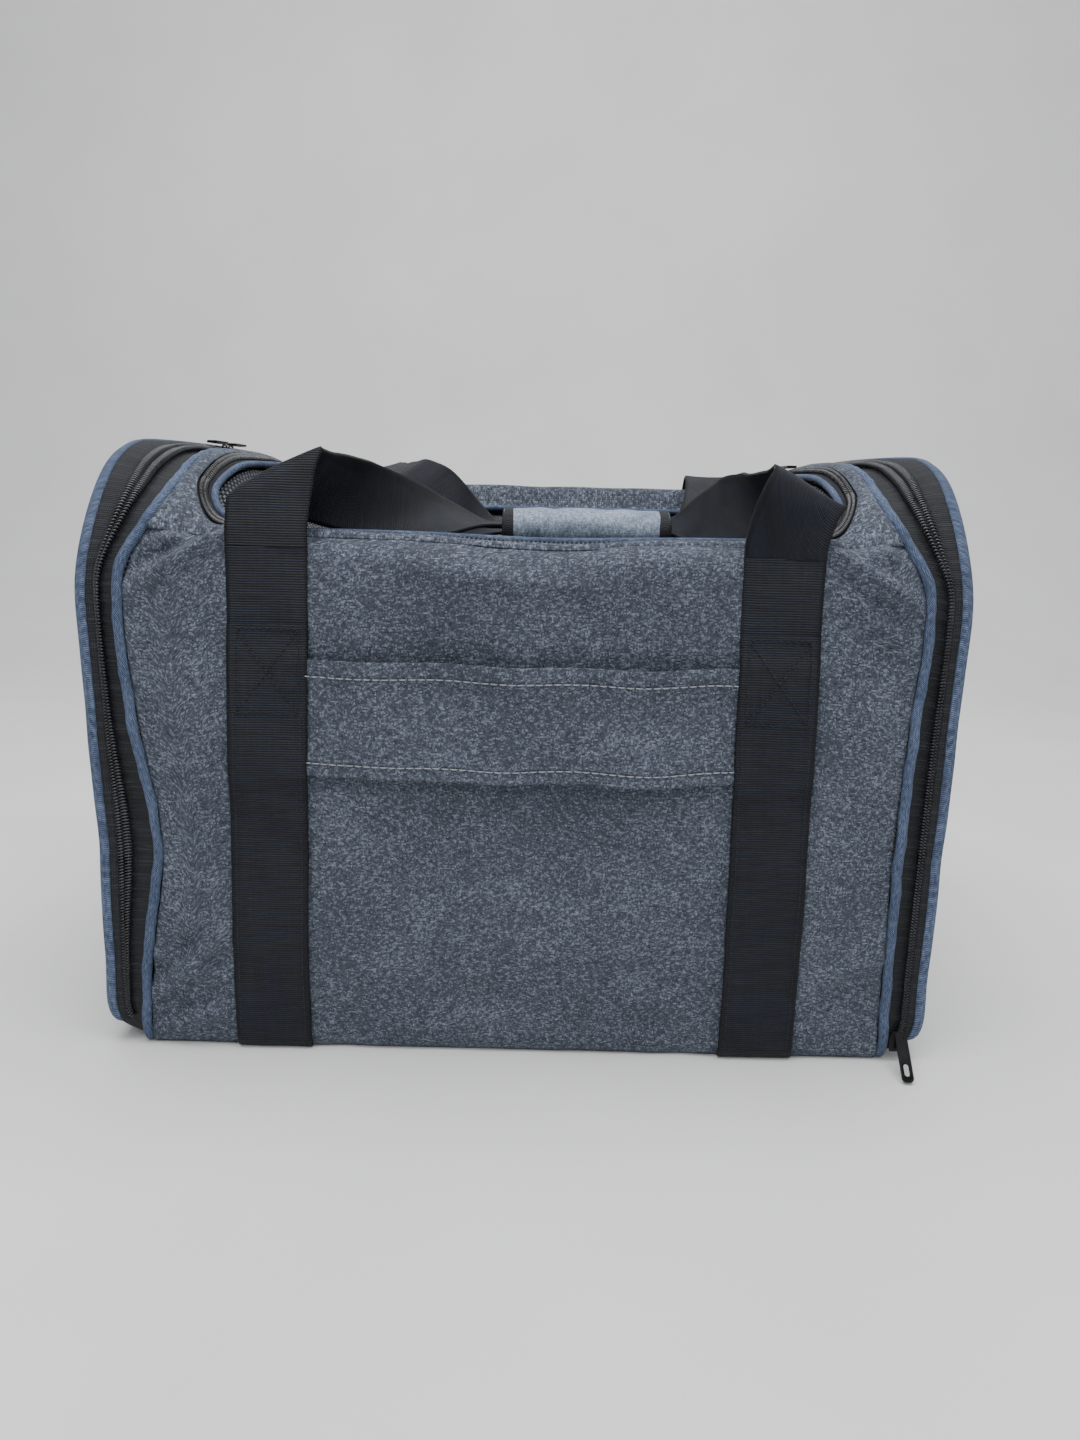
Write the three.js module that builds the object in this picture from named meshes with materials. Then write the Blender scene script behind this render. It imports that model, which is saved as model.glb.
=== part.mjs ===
// Soft-sided pet carrier bag: a fabric body on a stiff base, arched ends that unzip and fold
// down, a zipped mesh lid, a luggage sleeve on the front and two webbing handles.
// Millimetres, +Z up. The origin is the middle of the underside. X runs along the bag and
// -Y is the front, where the luggage sleeve is.
import * as THREE from 'three';

// Body
const HALF_DEPTH = 137;
const BODY_END = 187;
const FRONT_FOLD = 263;
const REAR_FOLD = 278;
const ARCH_HEIGHT = 303;
const FOLD_RADIUS = 13;
const SHOULDER_RADIUS = 72;
const ARCH_START = 130;
const FABRIC = 2.5;
const SEAM_Y = 126;
const GAP = 0.3;
const ARCH_STEPS = 30;
const RIM_COLUMNS = 56;

// Lid and the opening that it closes
const OPENING = { x: 181, y: 122.5, corner: 30 };
const LID_SAG = 17;
const LID_HINGE = { y: 119, z: 275 };
const ZIP_TAPE = 1.5;
const ZIP_HALF = 3.1;
const LID_PIPING = 3.6;
const MESH = 1.2;

// Ends
const PIPING = 5;
const PIPING_X = 190;
const END_INSET = 2.5;
const TAPE_THICKNESS = 1.6;
const COIL = 2.6;
const DOOR_HINGE = { x: 202.45, z: 13.5 };
const DOOR_FACE = 215.5;
const DOOR_BOARD = 4.2;
const DOOR_BORDER = 44;
const HOOP_WIRE = 3;

// Webbing, sleeve and handles
const WEBBING = { width: 38, thickness: 2.2 };
const STRAP_X = 124.5;
const STRAP_FOOT = 2;
const RISER_TOP = 295;
const HANDLE_HINGE = { y: 132.5, z: 297.2 };
const HANDLE_CLEARANCE = 4;
const SLEEVE = { low: 150, high: 206, half: 105.2, thickness: 1.5, bow: 6.5 };
const GRIP = { start: -20, end: 84, y: -25, z: 266, halfWidth: 24, halfHeight: 9, wall: 2 };

// Base
const BASE_BOARD = 3;
const PAD = { x: 176, y: 124, height: 16, corner: 18 };

// Zipper sliders
const SLIDER = { width: 8, length: 11, height: 2.6 };
const PULL = { width: 6, length: 25, thickness: 1.4 };

const material = (color, roughness, metalness = 0) => (
  new THREE.MeshStandardMaterial({ color, roughness, metalness })
);
const FINISHES = {
  fabric: material(0x58647a, 0.9),
  denim: material(0x6f8aa8, 0.85),
  webbing: material(0x24272e, 0.75),
  tape: material(0x2b2d33, 0.85),
  coil: material(0x17181b, 0.5),
  metal: material(0x1b1c20, 0.4, 0.6),
  mesh: material(0x1f2126, 0.8),
  grip: material(0x8c9bac, 0.9),
  fleece: material(0xb9bcc2, 1),
  board: material(0x303236, 0.7),
  steel: material(0x9a9ea3, 0.35, 0.9),
};

const bag = new THREE.Group();

function add(name, geometry, finish, parent = bag) {
  const mesh = new THREE.Mesh(geometry, FINISHES[finish]);
  mesh.name = name;
  parent.add(mesh);
  return mesh;
}

const { lerp, smoothstep } = THREE.MathUtils;
const point = (x, y, z) => new THREE.Vector3(x, y, z);

// ---------------------------------------------------------------- shapes of the body

/** How far the section has changed from the low middle, 0, to the arched end, 1. */
const archShare = (x) => smoothstep(Math.abs(x), ARCH_START, BODY_END);
const cornerRadius = (x) => lerp(FOLD_RADIUS, SHOULDER_RADIUS, archShare(x));
const foldHeight = (x, fold) => lerp(fold, ARCH_HEIGHT, archShare(x));

/** Height of the body's top surface. */
function topHeight(x, y) {
  const radius = cornerRadius(x);
  const start = radius - HALF_DEPTH;
  const end = -start;
  const front = foldHeight(x, FRONT_FOLD);
  const rear = foldHeight(x, REAR_FOLD);
  if (y < start) {
    return front - radius + Math.sqrt(Math.max(0, radius ** 2 - (start - y) ** 2));
  }
  if (y > end) {
    return rear - radius + Math.sqrt(Math.max(0, radius ** 2 - (y - end) ** 2));
  }
  return lerp(front, rear, (y - start) / (end - start));
}

/** The lid's mesh hangs lower in its middle. */
function lidHeight(x, y) {
  const along = 1 - (x / OPENING.x) ** 2;
  const over = 1 - (y / OPENING.y) ** 2;
  return topHeight(x, y) - LID_SAG * Math.max(0, along) * Math.max(0, over);
}

/** A closed solid between two matching grids of points. */
function slab(outer, inner, columns, rows, loop = false) {
  const stride = loop ? columns : columns + 1;
  const points = [];
  for (const side of [outer, inner]) {
    for (let row = 0; row <= rows; row += 1) {
      for (let column = 0; column < stride; column += 1) {
        points.push(side(column / columns, row / rows));
      }
    }
  }
  const at = (side, column, row) => (
    side * stride * (rows + 1) + row * stride + (column % stride)
  );
  let faces = [];
  const quad = (a, b, c, d) => faces.push([a, b, c], [a, c, d]);
  for (let column = 0; column < columns; column += 1) {
    const next = column + 1;
    for (let row = 0; row < rows; row += 1) {
      quad(at(0, column, row), at(0, next, row), at(0, next, row + 1), at(0, column, row + 1));
      quad(at(1, column, row), at(1, column, row + 1), at(1, next, row + 1), at(1, next, row));
    }
    quad(at(0, column, 0), at(1, column, 0), at(1, next, 0), at(0, next, 0));
    quad(at(0, column, rows), at(0, next, rows), at(1, next, rows), at(1, column, rows));
  }
  if (!loop) {
    for (let row = 0; row < rows; row += 1) {
      quad(at(0, 0, row), at(0, 0, row + 1), at(1, 0, row + 1), at(1, 0, row));
      quad(at(0, columns, row), at(1, columns, row), at(1, columns, row + 1), at(0, columns, row + 1));
    }
  }
  const volume = faces.reduce((sum, [a, b, c]) => (
    sum + points[a].dot(points[b].clone().cross(points[c]))
  ), 0);
  if (volume < 0) {
    faces = faces.map(([a, b, c]) => [a, c, b]);
  }
  const geometry = new THREE.BufferGeometry().setFromPoints(points);
  geometry.setIndex(faces.flat());
  geometry.computeVertexNormals();
  return geometry;
}

/** A flat outline in Y and Z, with a thickness along X that starts at x. */
function plate(outline, x, thickness) {
  const geometry = new THREE.ExtrudeGeometry(outline, {
    depth: thickness, bevelEnabled: false, curveSegments: 8,
  });
  geometry.applyMatrix4(new THREE.Matrix4().makeBasis(point(0, 1, 0), point(0, 0, 1), point(1, 0, 0)));
  geometry.translate(x, 0, 0);
  return geometry;
}

function sweep(section, path, steps) {
  return new THREE.ExtrudeGeometry(section, { steps, extrudePath: path, bevelEnabled: false });
}

function disc(diameter, sides) {
  const shape = new THREE.Shape();
  for (let side = 0; side < sides; side += 1) {
    const angle = (2 * Math.PI * side) / sides;
    const [a, b] = [Math.cos(angle), Math.sin(angle)].map((value) => (value * diameter) / 2);
    if (side === 0) {
      shape.moveTo(a, b);
    } else {
      shape.lineTo(a, b);
    }
  }
  return shape;
}

/** A rectangle for a swept band: its thickness points away from the bag's middle. */
function bandSection(thickness, width) {
  const shape = new THREE.Shape();
  shape.moveTo(-thickness / 2, -width / 2);
  shape.lineTo(thickness / 2, -width / 2);
  shape.lineTo(thickness / 2, width / 2);
  shape.lineTo(-thickness / 2, width / 2);
  return shape;
}

class QuarterTurn extends THREE.Curve {
  constructor(centre, radius, from, to) {
    super();
    Object.assign(this, { centre, radius, from, to });
  }

  getPoint(t, target = new THREE.Vector3()) {
    const angle = lerp(this.from, this.to, t);
    return target.set(
      this.centre.x,
      this.centre.y + this.radius * Math.cos(angle),
      this.centre.z + this.radius * Math.sin(angle),
    );
  }
}

/** The arch of an end, up the front, over and down the rear, set in from the body's face. */
function archPath(x, inset, foot) {
  const radius = SHOULDER_RADIUS - inset;
  const side = HALF_DEPTH - inset;
  const shoulder = ARCH_HEIGHT - SHOULDER_RADIUS;
  const turn = side - radius;
  const path = new THREE.CurvePath();
  path.add(new THREE.LineCurve3(point(x, -side, foot), point(x, -side, shoulder)));
  path.add(new QuarterTurn(point(x, -turn, shoulder), radius, Math.PI, Math.PI / 2));
  path.add(new THREE.LineCurve3(point(x, -turn, ARCH_HEIGHT - inset), point(x, turn, ARCH_HEIGHT - inset)));
  path.add(new QuarterTurn(point(x, turn, shoulder), radius, Math.PI / 2, 0));
  path.add(new THREE.LineCurve3(point(x, side, shoulder), point(x, side, foot)));
  return path;
}

/** The outline of an end panel in Y and Z. */
function archOutline(inset, foot, Type = THREE.Shape) {
  const radius = SHOULDER_RADIUS - inset;
  const side = HALF_DEPTH - inset;
  const shoulder = ARCH_HEIGHT - SHOULDER_RADIUS;
  const turn = side - radius;
  const outline = new Type();
  outline.moveTo(-side, foot);
  outline.lineTo(side, foot);
  outline.lineTo(side, shoulder);
  outline.absarc(turn, shoulder, radius, 0, Math.PI / 2, false);
  outline.lineTo(-turn, ARCH_HEIGHT - inset);
  outline.absarc(-turn, shoulder, radius, Math.PI / 2, Math.PI, false);
  return outline;
}

/** A place on a rounded rectangle's edge, from 0 to 1 round it, starting at the middle of the rear. */
function rimPoint(inset, share) {
  const hx = OPENING.x - inset;
  const hy = OPENING.y - inset;
  const corner = Math.max(2, OPENING.corner - inset);
  const quarter = Math.floor(share * 4) % 4;
  const part = share * 4 - Math.floor(share * 4);
  const mirrored = quarter % 2 === 1;
  const t = mirrored ? 1 - part : part;
  const [straight, bend] = [3 / 7, 5 / 7];
  let x = hx;
  let y = 0;
  if (t < straight) {
    x = ((hx - corner) * t) / straight;
    y = hy;
  } else if (t < bend) {
    const angle = (Math.PI / 2) * (1 - (t - straight) / (bend - straight));
    x = hx - corner + corner * Math.cos(angle);
    y = hy - corner + corner * Math.sin(angle);
  } else {
    y = (hy - corner) * (1 - (t - bend) / (1 - bend));
  }
  const right = quarter < 2;
  const rear = quarter === 0 || quarter === 3;
  return { x: right ? x : -x, y: rear ? y : -y };
}

// ---------------------------------------------------------------- body panels

/** A long wall: flat, then folded over at the top to the seam with the top fabric. */
function wall(side, fold) {
  const flatShare = 1 / 3;
  const profile = (x, t, depth) => {
    const radius = cornerRadius(x);
    const height = foldHeight(x, fold);
    const reach = radius - depth;
    const end = Math.acos((radius - (HALF_DEPTH - SEAM_Y - GAP)) / reach);
    if (t <= flatShare) {
      return { y: HALF_DEPTH - depth, z: lerp(0.4, height - radius, t / flatShare) };
    }
    const angle = (end * (t - flatShare)) / (1 - flatShare);
    return {
      y: HALF_DEPTH - radius + reach * Math.cos(angle),
      z: height - radius + reach * Math.sin(angle),
    };
  };
  const surface = (depth) => (u, v) => {
    const x = lerp(-BODY_END, BODY_END, u);
    const { y, z } = profile(x, v, depth);
    return point(x, side * y, z);
  };
  return slab(surface(0), surface(FABRIC), 22, 9);
}

/** The top fabric round the lid, from the opening out to the seams with the walls. */
function topSurround() {
  const surface = (depth) => (u, v) => {
    const inner = rimPoint(0, u);
    const outer = rimPoint(0, u);
    const reachX = BODY_END - OPENING.x;
    const reachY = SEAM_Y - OPENING.y;
    const cornered = {
      x: THREE.MathUtils.clamp(outer.x * 1.12, -OPENING.x - reachX, OPENING.x + reachX),
      y: THREE.MathUtils.clamp(outer.y * 1.12, -OPENING.y - reachY, OPENING.y + reachY),
    };
    const x = lerp(inner.x, cornered.x, v);
    const y = lerp(inner.y, cornered.y, v);
    return point(x, y, topHeight(x, y) - depth);
  };
  return slab(surface(0), surface(FABRIC), RIM_COLUMNS, 1, true);
}

/** A flat ring that follows the opening, between two insets from its edge. */
function rimBand(from, to, thickness) {
  const surface = (depth) => (u, v) => {
    const { x, y } = rimPoint(lerp(from, to, v), u);
    return point(x, y, topHeight(x, y) - depth);
  };
  return slab(surface(0), surface(thickness), RIM_COLUMNS, 1, true);
}

function roundedBox(halfX, halfY, corner, low, height) {
  const outline = new THREE.Shape();
  outline.moveTo(-halfX + corner, -halfY);
  outline.lineTo(halfX - corner, -halfY);
  outline.absarc(halfX - corner, -halfY + corner, corner, -Math.PI / 2, 0, false);
  outline.lineTo(halfX, halfY - corner);
  outline.absarc(halfX - corner, halfY - corner, corner, 0, Math.PI / 2, false);
  outline.lineTo(-halfX + corner, halfY);
  outline.absarc(-halfX + corner, halfY - corner, corner, Math.PI / 2, Math.PI, false);
  outline.lineTo(-halfX, -halfY + corner);
  outline.absarc(-halfX + corner, -halfY + corner, corner, Math.PI, Math.PI * 1.5, false);
  const geometry = new THREE.ExtrudeGeometry(outline, {
    depth: height, bevelEnabled: false, curveSegments: 4,
  });
  geometry.translate(0, 0, low);
  return geometry;
}

add('front_panel', wall(-1, FRONT_FOLD), 'fabric');
add('rear_panel', wall(1, REAR_FOLD), 'fabric');
add('top_surround', topSurround(), 'fabric');
const innerDepth = HALF_DEPTH - FABRIC - GAP;
add('base_panel', roundedBox(BODY_END, innerDepth, 3, 0, FABRIC), 'fabric');
const boardBottom = FABRIC + GAP;
add('base_board', roundedBox(BODY_END - 3, innerDepth - 3, 8, boardBottom, BASE_BOARD), 'board');
const padBottom = boardBottom + BASE_BOARD + GAP;
add('bed_pad', roundedBox(PAD.x, PAD.y, PAD.corner, padBottom, PAD.height), 'fleece');

// ---------------------------------------------------------------- lid

add('opening_zip_tape', rimBand(GAP, GAP + ZIP_HALF, ZIP_TAPE), 'tape');
const lidEdge = 2 * GAP + ZIP_HALF + 0.1;
add('lid_zip_tape', rimBand(lidEdge, lidEdge + ZIP_HALF, ZIP_TAPE), 'tape');

class RimCurve extends THREE.Curve {
  constructor(inset, drop) {
    super();
    Object.assign(this, { inset, drop });
  }

  getPoint(t, target = new THREE.Vector3()) {
    const { x, y } = rimPoint(this.inset, lerp(0.001, 0.999, t));
    return target.set(x, y, topHeight(x, y) - this.drop);
  }

  /** Keeps the steps in line with those of the flat rings beside it. */
  getUtoTmapping(u) {
    return u;
  }
}
const pipingInset = lidEdge + ZIP_HALF + GAP + LID_PIPING / 2;
const pipingPath = new RimCurve(pipingInset, LID_PIPING / 2 - 1);
add('lid_piping', sweep(disc(LID_PIPING, 6), pipingPath, RIM_COLUMNS), 'denim');

/** The lid's mesh, as rings that shrink from its edge to its middle. */
function lidMesh() {
  const edge = pipingInset + LID_PIPING / 2 + 4 * GAP;
  const rows = 5;
  const surface = (depth) => (u, v) => {
    const rim = rimPoint(edge, u);
    const scale = lerp(1, 0.04, v);
    const x = rim.x * scale;
    const y = rim.y * scale;
    return point(x, y, lidHeight(x, y) - depth);
  };
  return slab(surface(0), surface(MESH), RIM_COLUMNS, rows, true);
}
add('lid_mesh', lidMesh(), 'mesh');

// ---------------------------------------------------------------- ends

/** Everything at one end. Side is -1 on the left and 1 on the right. */
function addEnd(name, side) {
  const at = (x) => side * x;
  const band = (from, to) => bandSection(TAPE_THICKNESS, to - from - GAP);
  const middle = (from, to) => at((from + to) / 2);
  const ring = (node, from, to, inset, foot) => add(
    `${name}_${node}`,
    sweep(band(from, to), archPath(middle(from, to), inset + TAPE_THICKNESS / 2, foot), ARCH_STEPS),
    'tape',
  );
  const tube = (node, diameter, x, inset, foot, finish, sides) => add(
    `${name}_${node}`,
    sweep(disc(diameter, sides), archPath(at(x), inset, foot), ARCH_STEPS),
    finish,
  );
  const coilFar = PIPING_X + PIPING / 2 + 7.3;
  const doorFoot = DOOR_HINGE.z + 0.5;
  tube('piping', PIPING, PIPING_X, 0, 3, 'denim', 8);
  tube('frame_hoop', HOOP_WIRE, BODY_END - 3, FABRIC + 3 + HOOP_WIRE / 2, 6.5, 'steel', 6);
  ring('body_zip_tape', PIPING_X + PIPING / 2 + GAP, coilFar, END_INSET, doorFoot - 0.7);
  tube('body_zip_coil', COIL, DOOR_HINGE.x - COIL / 2 - 0.15, END_INSET, doorFoot - 0.7, 'coil', 4);
  tube('door_zip_coil', COIL, DOOR_HINGE.x + COIL / 2 + 0.15, END_INSET, doorFoot, 'coil', 4);
  const boardFace = DOOR_FACE - DOOR_BOARD;
  ring('door_zip_tape', DOOR_HINGE.x + COIL + 0.3, boardFace, END_INSET, doorFoot);

  const border = archOutline(END_INSET, doorFoot);
  const windowFoot = doorFoot + DOOR_BORDER;
  border.holes.push(archOutline(END_INSET + DOOR_BORDER, windowFoot, THREE.Path));
  const flat = (x, thickness) => (side > 0 ? x : -x - thickness);
  add(`${name}_door_border`, plate(border, flat(boardFace, DOOR_BOARD), DOOR_BOARD), 'denim');
  const meshInset = END_INSET + DOOR_BORDER - 8;
  const mesh = archOutline(meshInset, windowFoot - 8);
  const meshX = boardFace - GAP - MESH;
  add(`${name}_door_mesh`, plate(mesh, flat(meshX, MESH), MESH), 'mesh');

  const sillStart = BODY_END + GAP;
  const sillWidth = DOOR_HINGE.x - 0.4 - sillStart;
  const sill = new THREE.BoxGeometry(sillWidth, 2 * innerDepth, DOOR_HINGE.z - 1);
  sill.translate(at(sillStart + sillWidth / 2), 0, (DOOR_HINGE.z - 1) / 2 + 0.2);
  add(`${name}_sill`, sill, 'tape');
}
addEnd('left', -1);
addEnd('right', 1);

// ---------------------------------------------------------------- webbing

/** A flat strip along a curve. Its width runs along across(tangent). */
function ribbon(path, across, steps, width = WEBBING.width, thickness = WEBBING.thickness) {
  const surface = (offset) => (u, v) => {
    const centre = path.getPointAt(u);
    const tangent = path.getTangentAt(u);
    const wide = across(tangent).normalize();
    const normal = tangent.clone().cross(wide).normalize();
    return centre.addScaledVector(wide, (v - 0.5) * width).addScaledVector(normal, offset);
  };
  return slab(surface(thickness / 2), surface(-thickness / 2), steps, 1);
}

/** A strap up one wall and its free top, which leans over to where the handle starts. */
function strap(side, x, lean) {
  const y = HALF_DEPTH + GAP + WEBBING.thickness / 2;
  const fold = side < 0 ? FRONT_FOLD : REAR_FOLD;
  const path = new THREE.CurvePath();
  const leave = fold - 12;
  path.add(new THREE.LineCurve3(point(x, side * y, STRAP_FOOT), point(x, side * y, leave)));
  path.add(new THREE.CubicBezierCurve3(
    point(x, side * y, leave),
    point(x, side * y, leave + 14),
    point(x + lean, side * HANDLE_HINGE.y, RISER_TOP - 12),
    point(x + lean, side * HANDLE_HINGE.y, RISER_TOP),
  ));
  return ribbon(path, () => point(1, 0, 0), 22);
}
const LEAN = { frontLeft: 20, frontRight: 3, rearLeft: 12, rearRight: 12 };
add('front_left_strap', strap(-1, -STRAP_X, LEAN.frontLeft), 'webbing');
add('front_right_strap', strap(-1, STRAP_X, LEAN.frontRight), 'webbing');
add('rear_left_strap', strap(1, -STRAP_X, LEAN.rearLeft), 'webbing');
add('rear_right_strap', strap(1, STRAP_X, LEAN.rearRight), 'webbing');

/** A place on a handle's route, lifted clear of the lid under the webbing's whole width. */
function clearOfLid(x, y, z) {
  const half = WEBBING.width / 2;
  const beside = [[0, 0], [-half, 0], [half, 0], [0, -half], [0, half]];
  const under = beside.map(([dx, dy]) => lidHeight(x + dx, y + dy));
  return point(x, y, Math.max(z, Math.max(...under) + HANDLE_CLEARANCE));
}

/** A handle's webbing, from one riser over the lid to the other. */
function handle(side, left, right, middle) {
  const rootY = side * HANDLE_HINGE.y;
  const inward = -side;
  const root = HANDLE_HINGE.z + 0.6;
  const path = new THREE.CatmullRomCurve3([
    point(left, rootY, root),
    point(left, rootY + inward * 4, root + 3.8),
    point(left + 1, rootY + inward * 13, root + 3),
    clearOfLid(left + 8, rootY + inward * 27, root - 6),
    clearOfLid(left + 20, rootY + inward * 45, root - 16),
    clearOfLid(left + 38, rootY + inward * 70, root - 26),
    clearOfLid(middle.start - 26, middle.y + side * 10, middle.z + 1),
    point(middle.start - 6, middle.y, middle.z),
    point(middle.start + 10, middle.y, middle.z),
    point(middle.end - 10, middle.y, middle.z),
    point(middle.end + 6, middle.y, middle.z),
    clearOfLid(middle.end + 22, middle.y + side * 14, middle.z + 2),
    clearOfLid(right - 9, rootY + inward * 66, root - 24),
    clearOfLid(right - 4, rootY + inward * 42, root - 14),
    point(right - 1, rootY + inward * 22, root - 3),
    point(right, rootY + inward * 10, root + 3.5),
    point(right, rootY + inward * 4, root + 3.8),
    point(right, rootY, root),
  ], false, 'centripetal');
  const flat = (tangent) => tangent.clone().cross(point(0, 0, 1));
  return ribbon(path, flat, 48);
}
const rearMiddle = { start: GRIP.start, end: GRIP.end, y: 22, z: 263 };
add(
  'front_handle_webbing',
  handle(-1, -STRAP_X + LEAN.frontLeft, STRAP_X + LEAN.frontRight, GRIP),
  'webbing',
);
add(
  'rear_handle_webbing',
  handle(1, -STRAP_X + LEAN.rearLeft, STRAP_X + LEAN.rearRight, rearMiddle),
  'webbing',
);

/** A flattened tube round the front handle's middle. */
function gripTube(start, end, swell) {
  const surface = (shrink) => (u, v) => {
    const angle = 2 * Math.PI * u;
    const wide = GRIP.halfWidth + swell - shrink;
    const high = GRIP.halfHeight + swell - shrink;
    return point(
      lerp(start, end, v),
      GRIP.y + wide * Math.cos(angle),
      GRIP.z + high * Math.sin(angle),
    );
  };
  return slab(surface(0), surface(GRIP.wall), 24, 1, true);
}
const bindingWidth = 6;
const gripInset = bindingWidth + GAP;
add('grip_wrap', gripTube(GRIP.start + gripInset, GRIP.end - gripInset, 0), 'grip');
add('grip_binding_left', gripTube(GRIP.start, GRIP.start + bindingWidth, 0), 'tape');
add('grip_binding_right', gripTube(GRIP.end - bindingWidth, GRIP.end, 0), 'tape');

/** The luggage sleeve: a band that stands off the front panel between the straps. */
function sleeve() {
  const surface = (depth) => (u, v) => {
    const x = lerp(-SLEEVE.half, SLEEVE.half, u);
    const bow = SLEEVE.bow * (1 - Math.abs(x / SLEEVE.half) ** 6);
    const y = HALF_DEPTH + GAP + SLEEVE.thickness + bow - depth;
    return point(x, -y, lerp(SLEEVE.low, SLEEVE.high, v));
  };
  return slab(surface(0), surface(SLEEVE.thickness), 24, 1);
}
add('trolley_sleeve', sleeve(), 'fabric');

// ---------------------------------------------------------------- zipper sliders

function roundedBar(width, length, corner) {
  const outline = new THREE.Shape();
  const half = width / 2;
  outline.moveTo(-half + corner, 0);
  outline.lineTo(half - corner, 0);
  outline.absarc(half - corner, corner, corner, -Math.PI / 2, 0, false);
  outline.lineTo(half, length - corner);
  outline.absarc(half - corner, length - corner, corner, 0, Math.PI / 2, false);
  outline.lineTo(-half + corner, length);
  outline.absarc(-half + corner, length - corner, corner, Math.PI / 2, Math.PI, false);
  outline.lineTo(-half, corner);
  outline.absarc(-half + corner, corner, corner, Math.PI, Math.PI * 1.5, false);
  return outline;
}

function sliderGeometry() {
  const geometry = new THREE.ExtrudeGeometry(roundedBar(SLIDER.width, SLIDER.length, 2.5), {
    depth: SLIDER.height, bevelEnabled: false, curveSegments: 4,
  });
  geometry.translate(0, -SLIDER.length / 2, 0);
  return geometry;
}

function pullGeometry() {
  const outline = roundedBar(PULL.width, PULL.length, 2);
  const slot = new THREE.Path();
  const round = 1.2;
  slot.absarc(0, PULL.length - 8, round, Math.PI, 2 * Math.PI, false);
  slot.absarc(0, PULL.length - 4, round, 0, Math.PI, false);
  const eye = new THREE.Path();
  eye.moveTo(-1.2, 2);
  eye.lineTo(1.2, 2);
  eye.lineTo(1.2, 4.4);
  eye.lineTo(-1.2, 4.4);
  outline.holes.push(slot, eye);
  return new THREE.ExtrudeGeometry(outline, {
    depth: PULL.thickness, bevelEnabled: false, curveSegments: 4,
  });
}

/** A slider whose back lies at place, with its length along and its height out of the bag. */
function addSlider(name, place, along, out) {
  const across = along.clone().cross(out);
  const frame = new THREE.Matrix4().makeBasis(across, along, out).setPosition(place);
  const group = new THREE.Group();
  group.applyMatrix4(frame);
  add(`${name}_slider`, sliderGeometry(), 'metal', group);
  bag.add(group);
}

/** A pull tab that starts at its hinge and runs along, facing out. */
function addPull(name, hinge, along, out) {
  const across = along.clone().cross(out);
  const frame = new THREE.Matrix4().makeBasis(across, along, out).setPosition(hinge);
  const group = new THREE.Group();
  group.applyMatrix4(frame);
  add(`${name}_pull`, pullGeometry(), 'metal', group);
  bag.add(group);
}

const up = point(0, 0, 1);
const forward = point(0, -1, 0);
const backward = point(0, 1, 0);
const zipFace = HALF_DEPTH - END_INSET + COIL / 2 + GAP + 0.2;
const zipTop = ARCH_HEIGHT - END_INSET + COIL / 2 + GAP + 0.2;

const proudFace = -zipFace - SLIDER.height - GAP - 1;
const lean = Math.SQRT1_2;
addSlider('right_door', point(DOOR_HINGE.x, -zipFace, 11.5), up, forward);
const pullFoot = 0.9;
const pullRoot = pullFoot + PULL.length * lean;
addPull(
  'right_door',
  point(DOOR_HINGE.x, proudFace, pullRoot),
  point(0, -lean, -lean),
  point(0, -lean, lean),
);

const meetY = 24;
const pullTop = zipTop + SLIDER.height + GAP;
const sliderRoom = SLIDER.length / 2 + 0.5;
addSlider('left_front', point(-DOOR_HINGE.x, meetY - sliderRoom, zipTop), forward, up);
addPull('left_front', point(-DOOR_HINGE.x, meetY - sliderRoom, pullTop), forward, up);
addSlider('left_rear', point(-DOOR_HINGE.x, meetY + sliderRoom, zipTop), backward, up);
addPull('left_rear', point(-DOOR_HINGE.x, meetY + sliderRoom, pullTop), backward, up);

const lidSlider = { x: OPENING.x - lidEdge + GAP / 2, y: 56 };
const lidSliderTop = topHeight(lidSlider.x + SLIDER.width / 2, lidSlider.y) + 0.5;
addSlider('lid', point(lidSlider.x, lidSlider.y, lidSliderTop), forward, up);
const lidPullBottom = lidSliderTop + SLIDER.height + GAP;
addPull('lid', point(lidSlider.x, lidSlider.y, lidPullBottom), forward, up);

export default bag;
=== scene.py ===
"""Looks for the pet carrier bag: fabric, webbing, zippers and mesh over the CAD frame."""
import math

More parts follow.
